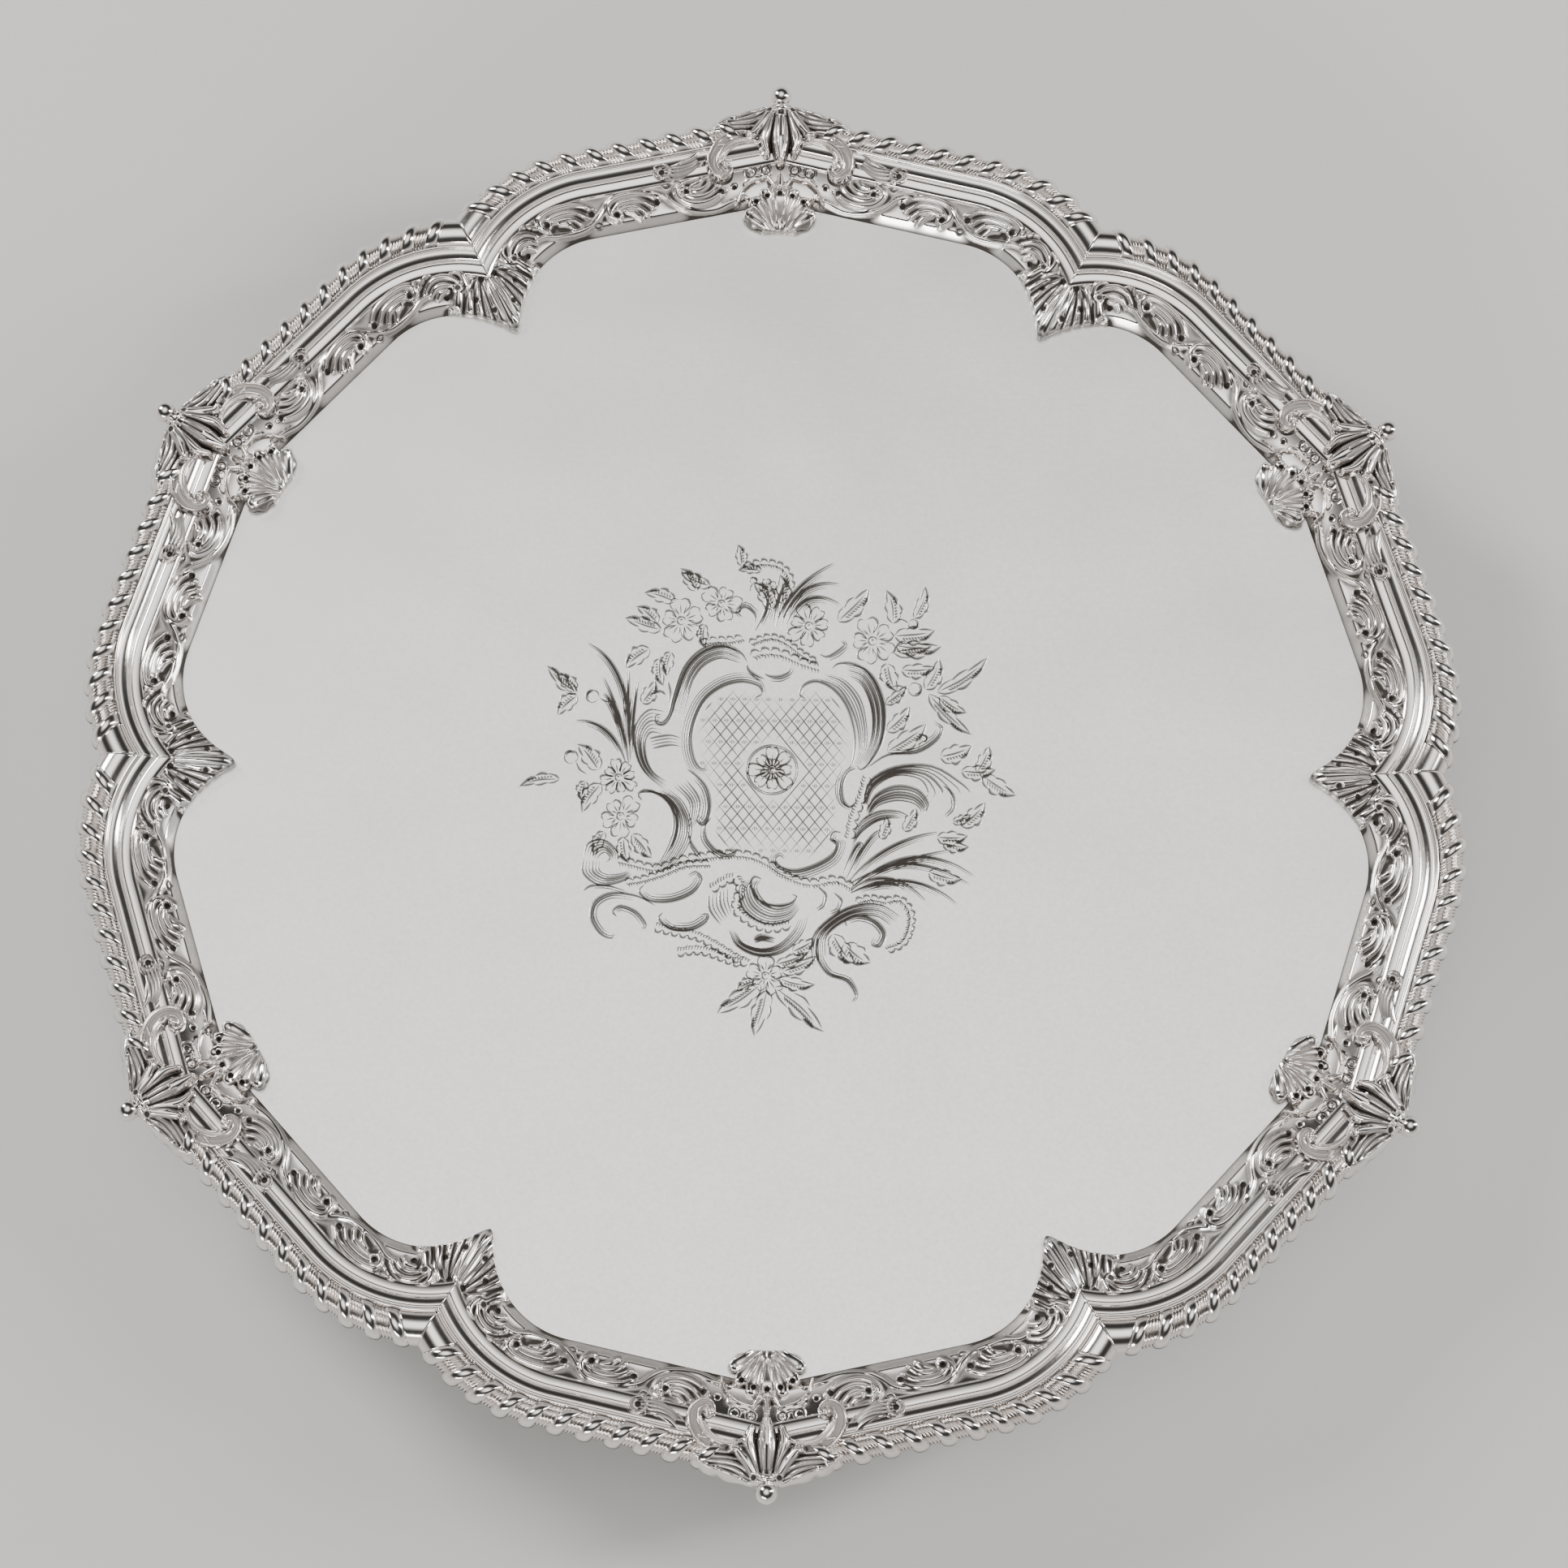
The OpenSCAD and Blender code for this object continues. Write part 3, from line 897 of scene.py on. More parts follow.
def scallops(points, size, side=1, width=1.5):
    """Shell edging: small bulging arcs along a path, each with two short cuts behind it."""
    path = smooth_path([(x, y, 0, 0) for x, y in points], 12)[:, :2]
    along = np.concatenate([[0], np.cumsum(np.hypot(*np.diff(path, axis=0).T))])
    count = max(2, round(along[-1] / size))
    stops = np.linspace(0, along[-1], count + 1)
    spots = np.column_stack([np.interp(stops, along, path[:, k]) for k in (0, 1)])
    strokes = []
    for (x0, y0), (x1, y1) in zip(spots, spots[1:]):
        angle, length = math.atan2(y1 - y0, x1 - x0), math.hypot(x1 - x0, y1 - y0)
        arc = [(0, 0), (0.2, 0.38 * side), (0.65, 0.42 * side), (1, 0.05 * side)]
        strokes.append(sweep_line(turned(arc, x0, y0, angle, length), width))
        for along in (0.1, 0.45, 0.8):
            place = turned([(along, -0.15 * side)], x0, y0, angle, length)[0]
            strokes.append(comma(*place, angle - 1.0 * side, length * (0.75 - 0.25 * along), 1.0))
    return strokes


def flower(x, y, radius, petals=5, turn=0.3):
    """An open flower with notched petals, radial cuts and a round heart."""
    half = math.pi / petals
    outline = [(0.3, -0.5), (0.75, -0.9), (1.0, -0.5), (0.93, 0.0), (1.04, 0.45), (0.8, 0.9), (0.3, 0.5)]
    strokes = []
    for k in range(petals):
        middle = turn + 2 * half * k
        size = radius * (1 + 0.14 * math.sin(2.3 * k + x))
        tip = [(r * math.cos(a * half), r * math.sin(a * half)) for r, a in outline]
        for part, width in ((tip[:4], 1.3), (tip[3:], 0.8)):
            strokes.append(sweep_line(turned(part, x, y, middle, size), width))
        for lean, reach in ((-0.28, 0.68), (0, 0.8), (0.28, 0.62)):
            ray = [(0.24 * math.cos(lean), 0.24 * math.sin(lean)), (reach, reach * lean * 1.5)]
            strokes.append(sweep_line(turned(ray, x, y, middle, size), 0.8))
    ring = [(0.2 * math.cos(a), 0.2 * math.sin(a)) for a in np.linspace(0, 5.6, 7)]
    return [*strokes, sweep_line(turned(ring, x, y, 0, radius), 1.1), comma(x - 2, y, 0.4, 4)]


def leaf(x, y, angle, length, width=0.24, bend=0.2):
    """A pointed leaf: two edges, a midrib and hatching on its shaded side."""
    def at(u, across):
        return (u, bend * u * u + across)

    lobes = [
        ([(0, 0), (0.16, -0.7), (0.4, -0.95)], 1.2), ([(0.34, -0.7), (0.5, -1.1), (0.7, -0.85)], 1.7),
        ([(0.64, -0.65), (0.84, -0.5), (1.1, 0.3)], 2.0), ([(0, 0), (0.15, 0.7), (0.36, 0.85)], 0.9),
        ([(0.3, 0.65), (0.5, 1.0), (0.68, 0.8)], 1.2), ([(0.62, 0.6), (0.85, 0.5), (1.04, 0.25)], 1.2),
        ([(0.03, 0), (0.5, 0.05), (0.88, 0.05)], 1.1),
    ]
    strokes = []
    for spots, bold in lobes:
        edge = [at(u, width * v) for u, v in spots]
        strokes.append(sweep_line(turned(edge, x, y, angle, length), bold))
    for u in np.arange(0.2, 0.85, 4.2 / length):
        cut = [at(u, -0.02), at(u + 0.1, -width * 0.6)]
        strokes.append(sweep_line(turned(cut, x, y, angle, length), 1.15))
    return strokes


def bud(x, y, angle, size):
    """A round bud on a short curved stalk."""
    ring = [(math.cos(a) + 1, math.sin(a)) for a in np.linspace(math.pi * 0.9, math.pi * 2.9, 9)]
    inner = [(0.75 * math.cos(a) + 1, 0.75 * math.sin(a)) for a in np.linspace(-1.7, 0.9, 5)]
    stalk = [(0, 0), (-1.2, 0.5), (-2.6, 0.3)]
    return [sweep_line(turned(part, x, y, angle, size), 1.0) for part in (ring, inner, stalk)]


def plume(root, side, tip, width=1.7, lines=3, gap=-2.6):
    """A long feather: a bold curve drawn towards a side point, with finer lines behind it."""
    u = np.linspace(0, 1, 8)[:, None]
    root, side, tip = (np.array(p, float) for p in (root, side, tip))
    side = side + (side - (root + tip) / 2) * 0.5
    curve = root * (1 - u) ** 2 + side * 2 * u * (1 - u) + tip * u**2
    return scroll(curve.tolist(), width, lines, gap)


def drawn(rows):
    """Strokes of a table whose rows are a kind of ornament and its values."""
    return [stroke for kind, *values in rows for stroke in kind(*values)]


SHIELD = [
    (-20, 116), (-60, 123), (-96, 92), (-109, 50), (-103, 8), (-97, -10), (-82, -38), (-84, -72),
    (-80, -100), (-56, -116), (-20, -119), (10, -126), (42, -130), (70, -118), (88, -90), (93, -50),
    (94, -20), (103, 8), (108, 45), (102, 75), (90, 100), (68, 120), (46, 122), (34, 108), (0, 108),
]


def inside_shield(x, y):
    """Whether points lie inside the shield's field."""
    inside = np.zeros(np.shape(x), bool)
    for (x0, y0), (x1, y1) in zip(SHIELD, SHIELD[1:] + SHIELD[:1]):
        if y0 != y1:
            inside ^= ((y0 > y) != (y1 > y)) & (x < (x1 - x0) * (y - y0) / (y1 - y0) + x0)
    return inside


LOZENGE = 13.0
ROSETTE = (-2, 2, 30)


def diaper():
    """Plain lozenge pattern over the shield's field, round a rosette."""
    middle_x, middle_y, radius = ROSETTE
    strokes = []
    u = np.arange(-190, 190, 1.0)
    for slope in (-1, 1):
        for k in range(-18, 19):
            x, y = u, slope * u * 1.25 + k * LOZENGE * 1.6
            clear = np.hypot(x - middle_x, y - middle_y) > radius * 1.25
            ok = np.concatenate([[False], inside_shield(x, y) & clear, [False]])
            starts, ends = np.flatnonzero(~ok[:-1] & ok[1:]), np.flatnonzero(ok[:-1] & ~ok[1:])
            for a, b in zip(starts, ends):
                if b - a > 5:
                    strokes.append(sweep_line([(x[a], y[a]), (x[b - 1], y[b - 1])], 0.75, 0.7))
    for i in range(-11, 12):
        for j in range(-14, 15):
            x = (i + j) * LOZENGE * 0.64
            y = (i - j) * LOZENGE * 0.8 + LOZENGE * 0.8
            far = math.hypot(x - middle_x, y - middle_y) > radius * 1.4
            if (i + 2 * j) % 3 == 0 and far and inside_shield(x, y) and inside_shield(x + 4, y - 4):
                for shift in (-3, -1, 1, 3):
                    rise = 4.6 - abs(shift)
                    cut = [(x + shift, y - rise), (x + shift, y + rise)]
                    strokes.append(sweep_line(cut, 0.6, 0.6))
    for ring in (1.12, 1.2):
        loop = [(middle_x + radius * ring * math.cos(a), middle_y + radius * ring * math.sin(a))
                for a in np.linspace(0, 2 * math.pi, 25)]
        strokes.append(sweep_line(loop, 0.8, 0.7))
    strokes += flower(middle_x, middle_y, radius, 8, 0)
    return strokes + flower(middle_x, middle_y, radius * 0.5, 8, 0.39)


def shield_frame():
    """C-scrolls round the field."""
    frame_lines = [
        ([(-28, 106), (-18, 112), (-22, 124), (-45, 130), (-72, 123), (-96, 104), (-110, 76), (-116, 45),
          (-112, 18), (-104, 4), (-96, 2), (-97, 10)], 1.9, 4),
        ([(-122, 2), (-108, -8), (-94, -25), (-88, -48), (-90, -68), (-98, -79), (-106, -72), (-101, -64)],
         1.9, 3),
        ([(-84, -66), (-94, -80), (-93, -98), (-80, -114), (-64, -121), (-54, -117), (-60, -110)], 1.7, 2),
        ([(96, -88), (86, -86), (80, -96), (88, -104), (82, -120), (60, -134), (34, -142), (12, -138),
          (4, -128), (10, -121), (16, -127)], 1.9, 4),
        ([(118, -40), (108, -50), (98, -42), (96, -20), (104, 0), (116, 6)], 1.8, 3),
        ([(44, 106), (36, 112), (42, 126), (60, 132), (82, 122), (100, 100), (110, 72), (114, 42),
          (110, 14), (102, 2)], 2.0, 0),
    ]
    strokes = []
    for points, width, lines in frame_lines:
        strokes += scroll(points, width, lines, -3.2 if points[0][0] < 44 else 3.2)
    strokes += drawn([
        (shading, [(60, 136), (88, 124), (106, 98), (117, 66), (119, 34), (112, 6)],
         [(72, 144), (98, 134), (120, 108), (129, 72), (129, 36), (118, 4)], 5),
        (shading, [(96, 158), (126, 150), (146, 120), (153, 84), (148, 44), (128, 6)],
         [(106, 138), (122, 128), (134, 102), (138, 72), (134, 42), (122, 10)], 8),
        (scroll, [(80, 150), (90, 158), (112, 158), (136, 142), (151, 112), (156, 80), (150, 42), (134, 14),
         (122, 4), (116, 10)], 1.8, 0),
        (shading, [(-44, 168), (-70, 180), (-100, 172), (-122, 148), (-134, 112), (-144, 80)],
         [(-46, 156), (-74, 164), (-98, 154), (-114, 132), (-122, 104), (-130, 72)], 7),
        (scroll, [(-38, 158), (-50, 174), (-76, 182), (-104, 172), (-126, 146), (-138, 108), (-144, 80),
         (-154, 66), (-165, 68), (-166, 78), (-158, 80)], 2.0, 1),
        (shading, [(-152, 84), (-176, 86), (-194, 62), (-194, 28), (-180, -4), (-150, -30)],
         [(-156, 52), (-172, 54), (-180, 40), (-178, 16), (-168, -4), (-148, -18)], 7),
        (shading, [(-176, 44), (-160, 48), (-144, 50), (-130, 46)],
         [(-170, 30), (-156, 34), (-142, 36), (-130, 34)], 4),
        (shading, [(-122, -14), (-104, -40), (-104, -64), (-112, -86)],
         [(-140, -22), (-118, -44), (-116, -66), (-118, -84)], 5),
        (shading, [(-190, -34), (-164, -34), (-142, -54), (-138, -86), (-150, -122), (-166, -146)],
         [(-150, -26), (-126, -46), (-114, -76), (-116, -104), (-130, -128), (-150, -148)], 9),
        (scroll,
         [(-182, -46), (-188, -36), (-174, -30), (-148, -44), (-134, -72), (-138, -104), (-154, -134)], 1.7,
         0),
        (scroll, [(-118, -88), (-114, -104), (-106, -116), (-98, -126)], 1.6, 3),
        (scallops, [(-34, 168), (-14, 174), (10, 172), (36, 160), (62, 152)], 15),
        (scallops, [(-36, 186), (-8, 196), (14, 190), (38, 172), (58, 160)], 11),
        (scroll, [(-14, 142), (-6, 138), (8, 138), (20, 144), (24, 152)], 1.7, 2),
        (scroll, [(-40, 156), (-36, 146), (-24, 138), (-14, 134)], 1.7, 2),
    ])
    return strokes


def base_work():
    """Shell edging, scrolls and palms below and beside the field."""
    strokes = drawn([
        (scallops, [(-216, -130), (-190, -136), (-160, -142), (-130, -130), (-96, -124), (-60, -120),
         (-30, -122), (-4, -134), (24, -152), (56, -160), (88, -154), (112, -166)], 13),
        (scallops, [(-204, -162), (-180, -158), (-150, -148), (-122, -136), (-88, -134)], 11),
        (scallops, [(-162, -226), (-136, -232), (-104, -238), (-76, -252), (-50, -268), (-32, -276)], 12, -1),
        (scallops, [(-130, -262), (-104, -258), (-82, -262), (-62, -270), (-42, -276)], 12, -1),
        (scallops, [(116, -186), (136, -180), (158, -184), (176, -180), (192, -198), (192, -222), (182, -244),
         (160, -254)], 11),
        (shading, [(-262, -128), (-256, -108), (-236, -102), (-218, -116), (-214, -132)],
         [(-244, -132), (-240, -124), (-232, -120), (-226, -128), (-232, -136)], 6),
        (shading, [(-262, -128), (-262, -150), (-240, -166), (-210, -162), (-194, -150)],
         [(-240, -132), (-240, -146), (-226, -152), (-208, -150), (-200, -146)], 6),
        (scroll, [(-176, -164), (-184, -176), (-168, -188), (-138, -188), (-110, -176), (-98, -158),
         (-106, -146), (-118, -152)], 1.8, 3, 3.2),
        (scroll,
         [(-150, -204), (-156, -214), (-138, -228), (-110, -228), (-90, -216), (-90, -206), (-100, -208)],
         1.8, 3, 3.2),
        (scroll, [(-160, -196), (-186, -182), (-220, -178), (-244, -190), (-250, -212), (-238, -234),
         (-222, -242), (-216, -236)], 1.9, 2, 3.4),
        (scroll, [(-214, -212), (-220, -204), (-208, -196), (-188, -204), (-174, -222), (-178, -230)], 1.6, 2,
         -3),
        (scroll, [(-262, -176), (-250, -168), (-226, -168), (-200, -176)], 1.5, 2),
        (shading, [(-36, -156), (-46, -172), (-38, -200), (-10, -218), (22, -214), (40, -194)],
         [(-16, -156), (-22, -168), (-12, -186), (6, -194), (22, -192), (32, -186)], 8, 0.8),
        (scroll,
         [(-14, -156), (-24, -152), (-30, -162), (-22, -182), (-2, -192), (24, -190), (34, -180), (26, -176)],
         1.8, 0),
        (shading, [(-60, -226), (-48, -250), (-18, -264), (16, -258), (42, -232), (50, -206)],
         [(-50, -230), (-40, -246), (-14, -254), (10, -248), (30, -228), (38, -210)], 5, 0.8),
        (scallops, [(-84, -172), (-70, -162), (-52, -154), (-44, -170), (-52, -196), (-34, -214), (-4, -226),
         (26, -220)], 12, -1),
        (shading, [(-88, -176), (-86, -200), (-70, -222)], [(-62, -168), (-62, -186), (-56, -206)], 6),
        (shading, [(-26, -242), (-14, -236), (6, -240)], [(-24, -246), (-12, -242), (6, -246)], 3, 1.3),
        (scroll, [(62, -164), (74, -176), (72, -192), (62, -200)], 1.6, 3),
        (scroll, [(84, -172), (96, -184), (92, -198), (80, -204)], 1.6, 3),
        (shading, [(58, -284), (56, -240), (78, -212), (112, -192), (150, -190), (180, -208)],
         [(74, -268), (74, -240), (90, -220), (118, -206), (146, -206), (166, -220)], 7, 0.8),
        (scroll, [(104, -222), (102, -212), (120, -206), (142, -212), (156, -230), (150, -248), (138, -246),
         (142, -236)], 2.0, 2),
        (scroll, [(64, -232), (62, -262), (78, -288), (104, -298), (116, -318), (110, -328)], 1.8, 2, 3),
        (leaf, 84, -232, -1.2, 46, 0.3),
        (leaf, 100, -246, -0.9, 40, 0.4),
        (leaf, 28, -258, 0.3, 34, 0.3),
        (leaf, 6, -276, 0.15, 42, 0.2),
    ])
    for root, side, tip in (
        ((108, -168), (196, -108), (282, -148)), ((106, -170), (180, -118), (276, -160)),
        ((106, -172), (160, -142), (214, -184)), ((108, -174), (150, -156), (184, -164)),
        ((100, -160), (128, -100), (150, -82)), ((96, -152), (116, -100), (126, -106)),
        ((104, -160), (158, -104), (232, -84)), ((104, -162), (170, -128), (246, -110)),
        ((112, -172), (190, -146), (258, -188)),
    ):
        strokes += plume(root, side, tip)
    for x, y, angle, size in (
        (150, -96, 1.1, 30), (182, -84, 0.9, 34), (228, -92, -0.15, 40), (262, -76, 0.6, 44),
        (250, -70, 0.2, 26), (216, -142, -0.4, 44), (236, -100, -0.35, 34),
    ):
        strokes += leaf(x, y, angle, size, 0.26, 0.15)
    strokes += drawn([
        (shading, [(124, -52), (134, -14), (170, 8), (222, 10), (262, -14), (276, -28)],
         [(130, -56), (140, -24), (170, -4), (204, -8), (216, -28), (208, -40)], 6, 0.9),
        (shading, [(128, -60), (142, -34), (170, -20), (200, -24), (216, -44), (212, -58)],
         [(132, -66), (146, -48), (170, -40), (192, -42), (204, -50), (206, -58)], 6, 1.0),
        (shading, [(112, -88), (126, -68), (150, -56), (176, -56), (190, -64)],
         [(108, -112), (122, -88), (142, -72), (160, -66), (176, -66)], 5, 0.8),
        (scallops, [(108, -96), (112, -70), (120, -48), (128, -26), (132, -6)], 13, -1, 1.3),
        (scroll, [(236, -16), (250, -30), (252, -50), (240, -64)], 1.7, 3),
        (scroll, [(130, 6), (160, 26), (200, 30), (228, 48), (236, 66), (224, 76)], 1.7, 3, 3),
    ])
    return strokes


def flowers_and_sprays():
    """Flowers, leaves, buds and feathers round the outside."""
    strokes = []
    for spec in (
        (-132, 218, 30, 5, 0.4), (-76, 244, 26, 5, 1.2), (48, 213, 29, 7, 0.1), (138, 192, 31, 5, 0.6),
        (-216, -12, 24, 8, 0.2), (-212, -68, 27, 5, 0.9), (-8, -292, 25, 5, 0.3), (-12, 268, 13, 5, 0.4),
    ):
        strokes += flower(*spec)
    for spec in (
        (-160, 204, 2.9, 50, 0.2, -0.1), (-166, 214, 2.2, 34, 0.3), (-142, 246, 2.6, 40, 0.26),
        (-112, 262, 1.9, 36, 0.3), (-92, 270, 2.9, 42, 0.22, -0.2), (-176, 176, 3.6, 40, 0.3),
        (-162, 162, 4.6, 36, 0.26), (-146, 172, 4.3, 32, 0.28), (-100, 214, 4.5, 32, 0.24),
        (-48, 300, 1.6, 30, 0.26, 0.1), (-20, 294, 2.9, 30, 0.22), (-4, 236, 1.9, 44, 0.26),
        (10, 244, 1.4, 40, 0.26), (88, 220, 0.7, 62, 0.2, 0.1), (166, 218, 1.4, 44, 0.26, 0.3),
        (196, 226, 0.9, 44, 0.2, 0.3), (168, 200, 0.0, 54, 0.24, 0.1), (170, 186, -0.25, 46, 0.24),
        (166, 176, 0.2, 64, 0.2, -0.1), (158, 160, -1.5, 40, 0.3), (178, 150, -0.15, 44, 0.24),
        (212, 122, 0.9, 44, 0.26, 0.2), (228, 118, 0.35, 80, 0.13, 0.25), (216, 116, -0.9, 78, 0.12, 0.1),
        (232, 112, -0.8, 40, 0.24), (156, 100, 0.5, 36, 0.2), (158, 60, 0.6, 44, 0.24),
        (158, 30, 0.5, 64, 0.2, 0.1), (232, 24, 0.1, 44, 0.3, 0.2), (262, 4, -0.2, 44, 0.24),
        (284, 2, 0.9, 38, 0.26, 0.2), (292, -2, -0.7, 50, 0.24, 0.1), (-244, -2, 2.1, 44, 0.28, 0.1),
        (-240, -22, 3.9, 44, 0.26), (-262, -18, 4.3, 26, 0.32), (-298, -16, 3.0, 50, 0.16, 0.3),
        (-280, 112, 2.1, 32, 0.32), (-276, 106, 3.7, 36, 0.3), (-276, 110, 2.7, 52, 0.18, -0.3),
        (-196, -94, -0.8, 40, 0.26, -0.1), (-208, -98, -1.6, 34, 0.28), (-234, -90, -2.2, 34, 0.24),
        (-186, 96, 0.8, 34, 0.3), (-14, -304, -2.4, 68, 0.18, -0.15), (-6, -312, -1.75, 62, 0.2, -0.1),
        (4, -308, -0.55, 84, 0.16, -0.2), (10, -296, -0.4, 46, 0.2), (14, -286, 0.2, 48, 0.2),
        (-24, -300, 3.4, 24, 0.3),
    ):
        strokes += leaf(*spec)
    for spec in ((188, 219, -0.2, 7), (188, 122, 0.0, 9.5), (-246, 104, 3.0, 9), (-276, 10, 2.4, 9.5),
                 (-32, 274, 1.4, 5), (208, 46, 1.2, 5)):
        strokes += bud(*spec)
    for root, side, tip in (
        ((-202, 4), (-214, 74), (-240, 134)), ((-200, 8), (-204, 90), (-204, 146)),
        ((-206, 8), (-232, 62), (-278, 70)), ((-202, 40), (-212, 140), (-264, 184)),
        ((-198, 20), (-196, 80), (-190, 134)), ((-204, 30), (-222, 90), (-240, 110)),
    ):
        strokes += plume(root, side, tip, 1.9, 3, 2.4)
    for root, side, tip in (
        ((0, 206), (22, 266), (84, 308)), ((8, 208), (34, 272), (92, 276)), ((14, 210), (44, 262), (92, 246)),
        ((-30, 202), (-10, 240), (-16, 262)), ((-2, 214), (4, 260), (20, 286)),
    ):
        strokes += plume(root, side, tip, 1.9, 4, -2.8)
    strokes += drawn([
        (scroll, [(-30, 212), (-28, 228), (-42, 240), (-52, 232), (-46, 224)], 1.6, 3),
        (scroll, [(62, 172), (74, 168), (88, 176), (98, 186), (92, 192)], 1.5, 3),
        (scallops, [(-44, 300), (-20, 306), (6, 302), (20, 286), (22, 268)], 12),
        (scallops, [(-104, 186), (-84, 190), (-64, 190), (-46, 194)], 12, 1, 1.2),
        (scroll, [(-150, 130), (-146, 112), (-148, 96)], 1.5, 2),
        (scroll, [(-176, 108), (-160, 114), (-152, 108)], 1.6, 2),
    ])
    return strokes


def engraving():
    """All strokes of the central cartouche, in millimetres."""
    strokes = diaper() + shield_frame() + base_work() + flowers_and_sprays()
    return [stroke * [UNIT, UNIT, UNIT, 1] for stroke in strokes]


def cut_outline(path):
    """Outline and centre line of a tapered stroke as vertices and edges."""
    n = len(path)
    way = np.gradient(path[:, :2], axis=0)
    way /= np.maximum(np.hypot(*way.T), 1e-9)[:, None]
    across = np.column_stack([-way[:, 1], way[:, 0]]) * path[:, 2:3]
    sides = [path[1:-1, :2] + across[1:-1], path[1:-1, :2] - across[1:-1]]
    points = np.vstack([path[:, :2], *sides])
    edges = [(k, k + 1) for k in range(n - 1)]
    for first in (n, 2 * n - 2):
        edges += [(0, first), (first + n - 3, n - 1)]
        edges += [(k, k + 1) for k in range(first, first + n - 3)]
    return points, edges


def groove_depth(points, strokes):
    """Depth of the engraving and its painted shade at any points of the tray."""
    depth, painted_shade = np.zeros(len(points)), np.zeros(len(points))
    for path in strokes:
        reach = path[:, 2].max()
        low, high = path[:, :2].min(0) - reach, path[:, :2].max(0) + reach
        index = np.flatnonzero(((points > low) & (points < high)).all(1))
        if len(index):
            gap, _, values = nearest(points[index], path)
            r = np.clip(np.hypot(*gap.T) / np.maximum(values[:, 2], 1e-6), 0, 1)
            depth[index] = np.maximum(depth[index], values[:, 3] * (1 - r))
            # painted shade in the grooves, darkest on the middle line of the wider cuts
            dark = np.clip(2.2 * (1 - r), 0, 1) * np.clip(values[:, 2] / (0.25 * UNIT), 0, 1)
            painted_shade[index] = np.maximum(painted_shade[index], dark)
    return depth, painted_shade


# ---------------------------------------------------------------- plate
LINE_WEIGHT = (1, 1, 1.12, 1.1)
LIP_TOP = TRAY_Z - SHEET + 0.5


def outline(t):
    """The whole outline at distance t, counter-clockwise from the corner on +Y."""
    bay = bay_row(t, 1, 48)
    points = []
    for number in range(FOLD):
        for side, row in ((number, bay * [-1, 1]), (number + 1, bay[::-1][1:-1])):
            c, s = math.cos(side * STEP), math.sin(side * STEP)
            points.append(row @ np.array([[c, s], [-s, c]]))
    return np.vstack(points)


def plate_shape():
    """The tray sheet with its engraving cut in, and the thin lip that the frieze sits on."""
    ring, lip = outline(TRAY_EDGE), outline(LIP_EDGE)
    n = len(ring)
    coords, edges = [ring], []
    count = n
    strokes = [stroke * LINE_WEIGHT for stroke in engraving()]
    for stroke in strokes:
        points, links = cut_outline(stroke)
        coords.append(points)
        edges += [(a + count, b + count) for a, b in links]
        count += len(points)
    flat = [Vector(p) for p in np.vstack(coords).tolist()]
    made = delaunay_2d_cdt(flat, edges, [tuple(range(n))], 1, 1e-5, True)
    xy = np.array([tuple(v) for v in made[0]])
    depth, painted_shade = groove_depth(xy, strokes)
    places = np.column_stack([xy, TRAY_Z - depth])
    first = {k: new for new, old in enumerate(made[3]) for k in old if k < n}
    base = len(xy)
    levels = [(ring, LIP_TOP), (lip, LIP_TOP), (lip, TRAY_Z - SHEET)]
    walls = np.vstack([np.column_stack([row, np.full(n, z)]) for row, z in levels])
    faces = [tuple(face) for face in made[2]]
    for k in range(n):
        after = (k + 1) % n
        loop = [(first[k], first[after])]
        loop += [(base + level * n + k, base + level * n + after) for level in range(3)]
        faces += [(a, c, d, b) for (a, b), (c, d) in zip(loop, loop[1:])]
    faces.append(tuple(range(base + 2 * n, base + 3 * n))[::-1])
    return Shape().add(np.vstack([places, walls]), faces, np.concatenate([painted_shade, np.zeros(3 * n)]))


# ---------------------------------------------------------------- materials
# near-black colour and roughness of the shade painted into recesses
PAINTED_SHADE_TINT = (0.035, 0.028, 0.022, 1)
PAINTED_SHADE_ROUGHNESS = 0.6


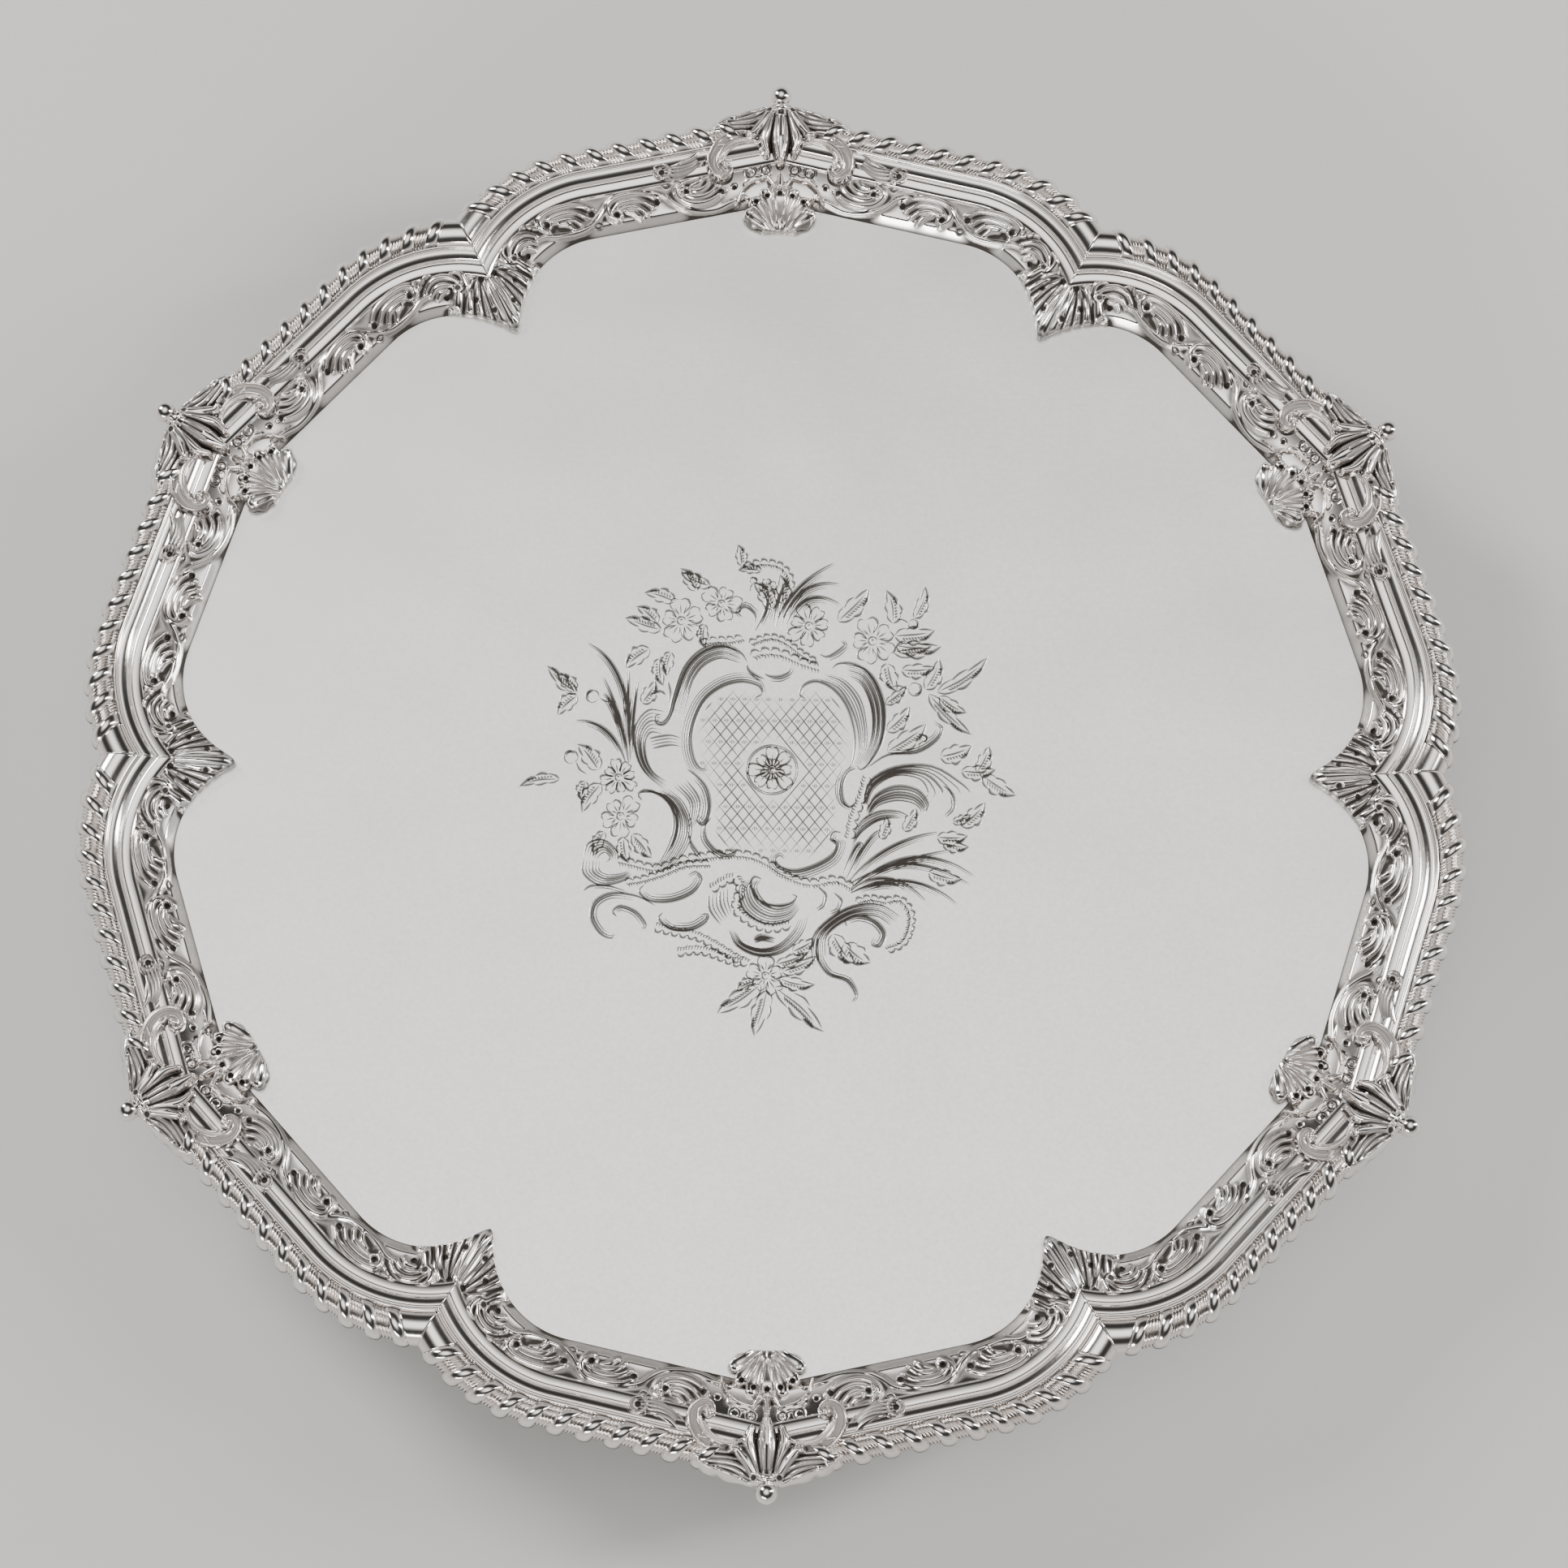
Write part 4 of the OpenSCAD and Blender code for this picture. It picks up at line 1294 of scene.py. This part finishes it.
def silver(name, base, roughness, painted_shade_strength, scratch, wave):
    """Polished silver with painted shade in the recesses, fine scratches and a little uneven polish."""
    material = bpy.data.materials.new(name)
    material.use_nodes = True
    tree = material.node_tree
    nodes, links = tree.nodes, tree.links
    nodes.clear()

    def node(kind, values=(), **settings):
        made = nodes.new(kind)
        for key, value in settings.items():
            setattr(made, key, value)
        for key, value in dict(values).items():
            made.inputs[key].default_value = value
        return made

    def noise(scale, detail, vector):
        made = node("ShaderNodeTexNoise", {"Scale": scale, "Detail": detail})
        links.new(vector, made.inputs["Vector"])
        return made.outputs["Fac"]

    def ranged(value, low, high):
        made = node("ShaderNodeMapRange", {"To Min": low, "To Max": high})
        links.new(value, made.inputs["Value"])
        return made.outputs["Result"]

    out = node("ShaderNodeOutputMaterial")
    shader = node("ShaderNodeBsdfPrincipled")
    position = node("ShaderNodeNewGeometry").outputs["Position"]
    painted_shade = node("ShaderNodeAttribute", attribute_name="painted_shade")
    cloud = noise(35.0, 6.0, position)
    fine = noise(900.0, 4.0, position)

    tarnished = (base[0] * 0.95, base[1] * 0.9, base[2] * 0.86, 1)
    tone = node("ShaderNodeMix", {6: tarnished, 7: (*base, 1)}, data_type="RGBA")
    links.new(cloud, tone.inputs[0])
    # painted shade: where the attribute is high the silver turns dark, less metallic and rougher
    amount = node("ShaderNodeMath", {1: painted_shade_strength}, operation="MULTIPLY", use_clamp=True)
    links.new(painted_shade.outputs["Fac"], amount.inputs[0])
    links.new(ranged(amount.outputs[0], 1.0, 0.15), shader.inputs["Metallic"])
    dark = node("ShaderNodeMix", {7: PAINTED_SHADE_TINT}, data_type="RGBA")
    links.new(amount.outputs[0], dark.inputs[0])
    links.new(tone.outputs[2], dark.inputs[6])
    links.new(dark.outputs[2], shader.inputs["Base Color"])

    rough_dark = node("ShaderNodeMix", {3: PAINTED_SHADE_ROUGHNESS}, data_type="FLOAT")
    links.new(amount.outputs[0], rough_dark.inputs[0])
    links.new(ranged(fine, roughness * 0.75, roughness * 1.3), rough_dark.inputs[2])
    links.new(rough_dark.outputs[0], shader.inputs["Roughness"])

    stretch = node("ShaderNodeMapping", {"Rotation": (0, 0, 0.6), "Scale": (60, 1400, 60)})
    links.new(position, stretch.inputs["Vector"])
    hollow = node("ShaderNodeBump", {"Strength": 1.0, "Distance": wave})
    links.new(noise(14.0, 1.0, position), hollow.inputs["Height"])
    bump = node("ShaderNodeBump", {"Strength": scratch, "Distance": 0.00002})
    links.new(noise(1.0, 2.0, stretch.outputs["Vector"]), bump.inputs["Height"])
    links.new(hollow.outputs["Normal"], bump.inputs["Normal"])
    links.new(bump.outputs["Normal"], shader.inputs["Normal"])
    links.new(shader.outputs["BSDF"], out.inputs["Surface"])
    return material


# ---------------------------------------------------------------- stage
FLOOR_HALF = 14.0
SKY = [(0.0, 0.8), (0.2, 0.72), (0.38, 0.25), (0.52, 0.035), (0.8, 0.05), (0.88, 0.3), (0.93, 0.9),
       (0.955, 1.6), (0.985, 2.2)]
SKY_TILT = 0.1
SOFTBOXES = [
    ((-1.0, 0.75, 0.95), (0.45, 0.6), 16.0), ((1.15, 0.2, 0.75), (0.22, 0.9), 12.0),
    ((-0.5, -1.25, 0.7), (0.8, 0.2), 8.0),
]


def stage():
    """Plain pale floor, soft studio light and the camera."""
    data = bpy.data.meshes.new("floor")
    corners = [(x * FLOOR_HALF, y * FLOOR_HALF, 0) for x, y in ((-1, -1), (1, -1), (1, 1), (-1, 1))]
    data.from_pydata(corners, [], [(0, 1, 2, 3)])
    floor = bpy.data.objects.new("floor", data)
    bpy.context.scene.collection.objects.link(floor)
    floor.location.z = -0.0002
    pale = bpy.data.materials.new("pale_floor")
    pale.use_nodes = True
    sockets = pale.node_tree.nodes["Principled BSDF"].inputs
    sockets["Base Color"].default_value = (0.72, 0.71, 0.69, 1)
    sockets["Roughness"].default_value = 0.9
    sockets["Specular IOR Level"].default_value = 0.0
    data.materials.append(pale)

    world = bpy.data.worlds.new("studio")
    bpy.context.scene.world = world
    world.use_nodes = True
    tree = world.node_tree
    background = tree.nodes["Background"]
    coords = tree.nodes.new("ShaderNodeTexCoord")
    split = tree.nodes.new("ShaderNodeVectorMath")
    split.operation = "DOT_PRODUCT"
    split.inputs[1].default_value = (0.0, math.sin(SKY_TILT), math.cos(SKY_TILT))
    ramp = tree.nodes.new("ShaderNodeValToRGB")
    tree.links.new(coords.outputs["Generated"], split.inputs[0])
    tree.links.new(split.outputs["Value"], ramp.inputs["Fac"])
    tree.links.new(ramp.outputs["Color"], background.inputs["Color"])
    ramp.color_ramp.elements.remove(ramp.color_ramp.elements[1])
    for k, (place, value) in enumerate(SKY):
        spot = ramp.color_ramp.elements[0] if k == 0 else ramp.color_ramp.elements.new(place)
        spot.position = place
        spot.color = (value, value * 0.985, value * 0.965, 1)
    background.inputs["Strength"].default_value = 1.0

    for place, size, watts in SOFTBOXES:
        light = bpy.data.lights.new("softbox", "AREA")
        light.shape = "RECTANGLE"
        light.size, light.size_y = size
        light.energy = watts
        lamp = bpy.data.objects.new("softbox", light)
        lamp.location = place
        lamp.rotation_euler = (-lamp.location).to_track_quat("-Z", "Y").to_euler()
        bpy.context.scene.collection.objects.link(lamp)

    camera = bpy.data.objects.new("camera", bpy.data.cameras.new("camera"))
    camera.data.lens = 90.56
    camera.data.sensor_width = 36.0
    reach = CORNER_RADIUS * MM
    camera.location = (-0.0633 * reach, -1.4484 * reach, 5.5031 * reach)
    camera.rotation_euler = (0.2627, -0.0173, 0.0097)
    bpy.context.scene.collection.objects.link(camera)
    bpy.context.scene.camera = camera


stage()
tray_silver = silver("tray_silver", (0.86, 0.86, 0.85), 0.3, 1.0, 0.25, 0.0012)
border_silver = silver("border_silver", (0.89, 0.865, 0.85), 0.13, 1.15, 0.1, 0.0003)

plate_mesh = plate_shape().mesh("plate_sheet", smooth=False)
silver_piece("plate_sheet", plate_mesh, tray_silver, ["plate"])
for fill, family, shape_of, slot_name in (
    (fill_bays, "frieze_section", frieze_shape, "frieze_silver"),
    (fill_bays, "border_section", border_shape, "border_silver"),
    (fill_corners, "corner_cartouche", cartouche_shape, "cartouche_silver"),
    (fill_corners, "inner_shell", inner_shell_shape, "cartouche_silver"),
    (fill_corners, "foot", foot_shape, "foot_silver"),
    (fill_corners, "foot_backplate", backplate_shape, "foot_silver"),
):
    fill(family, shape_of(), border_silver, slot_name)
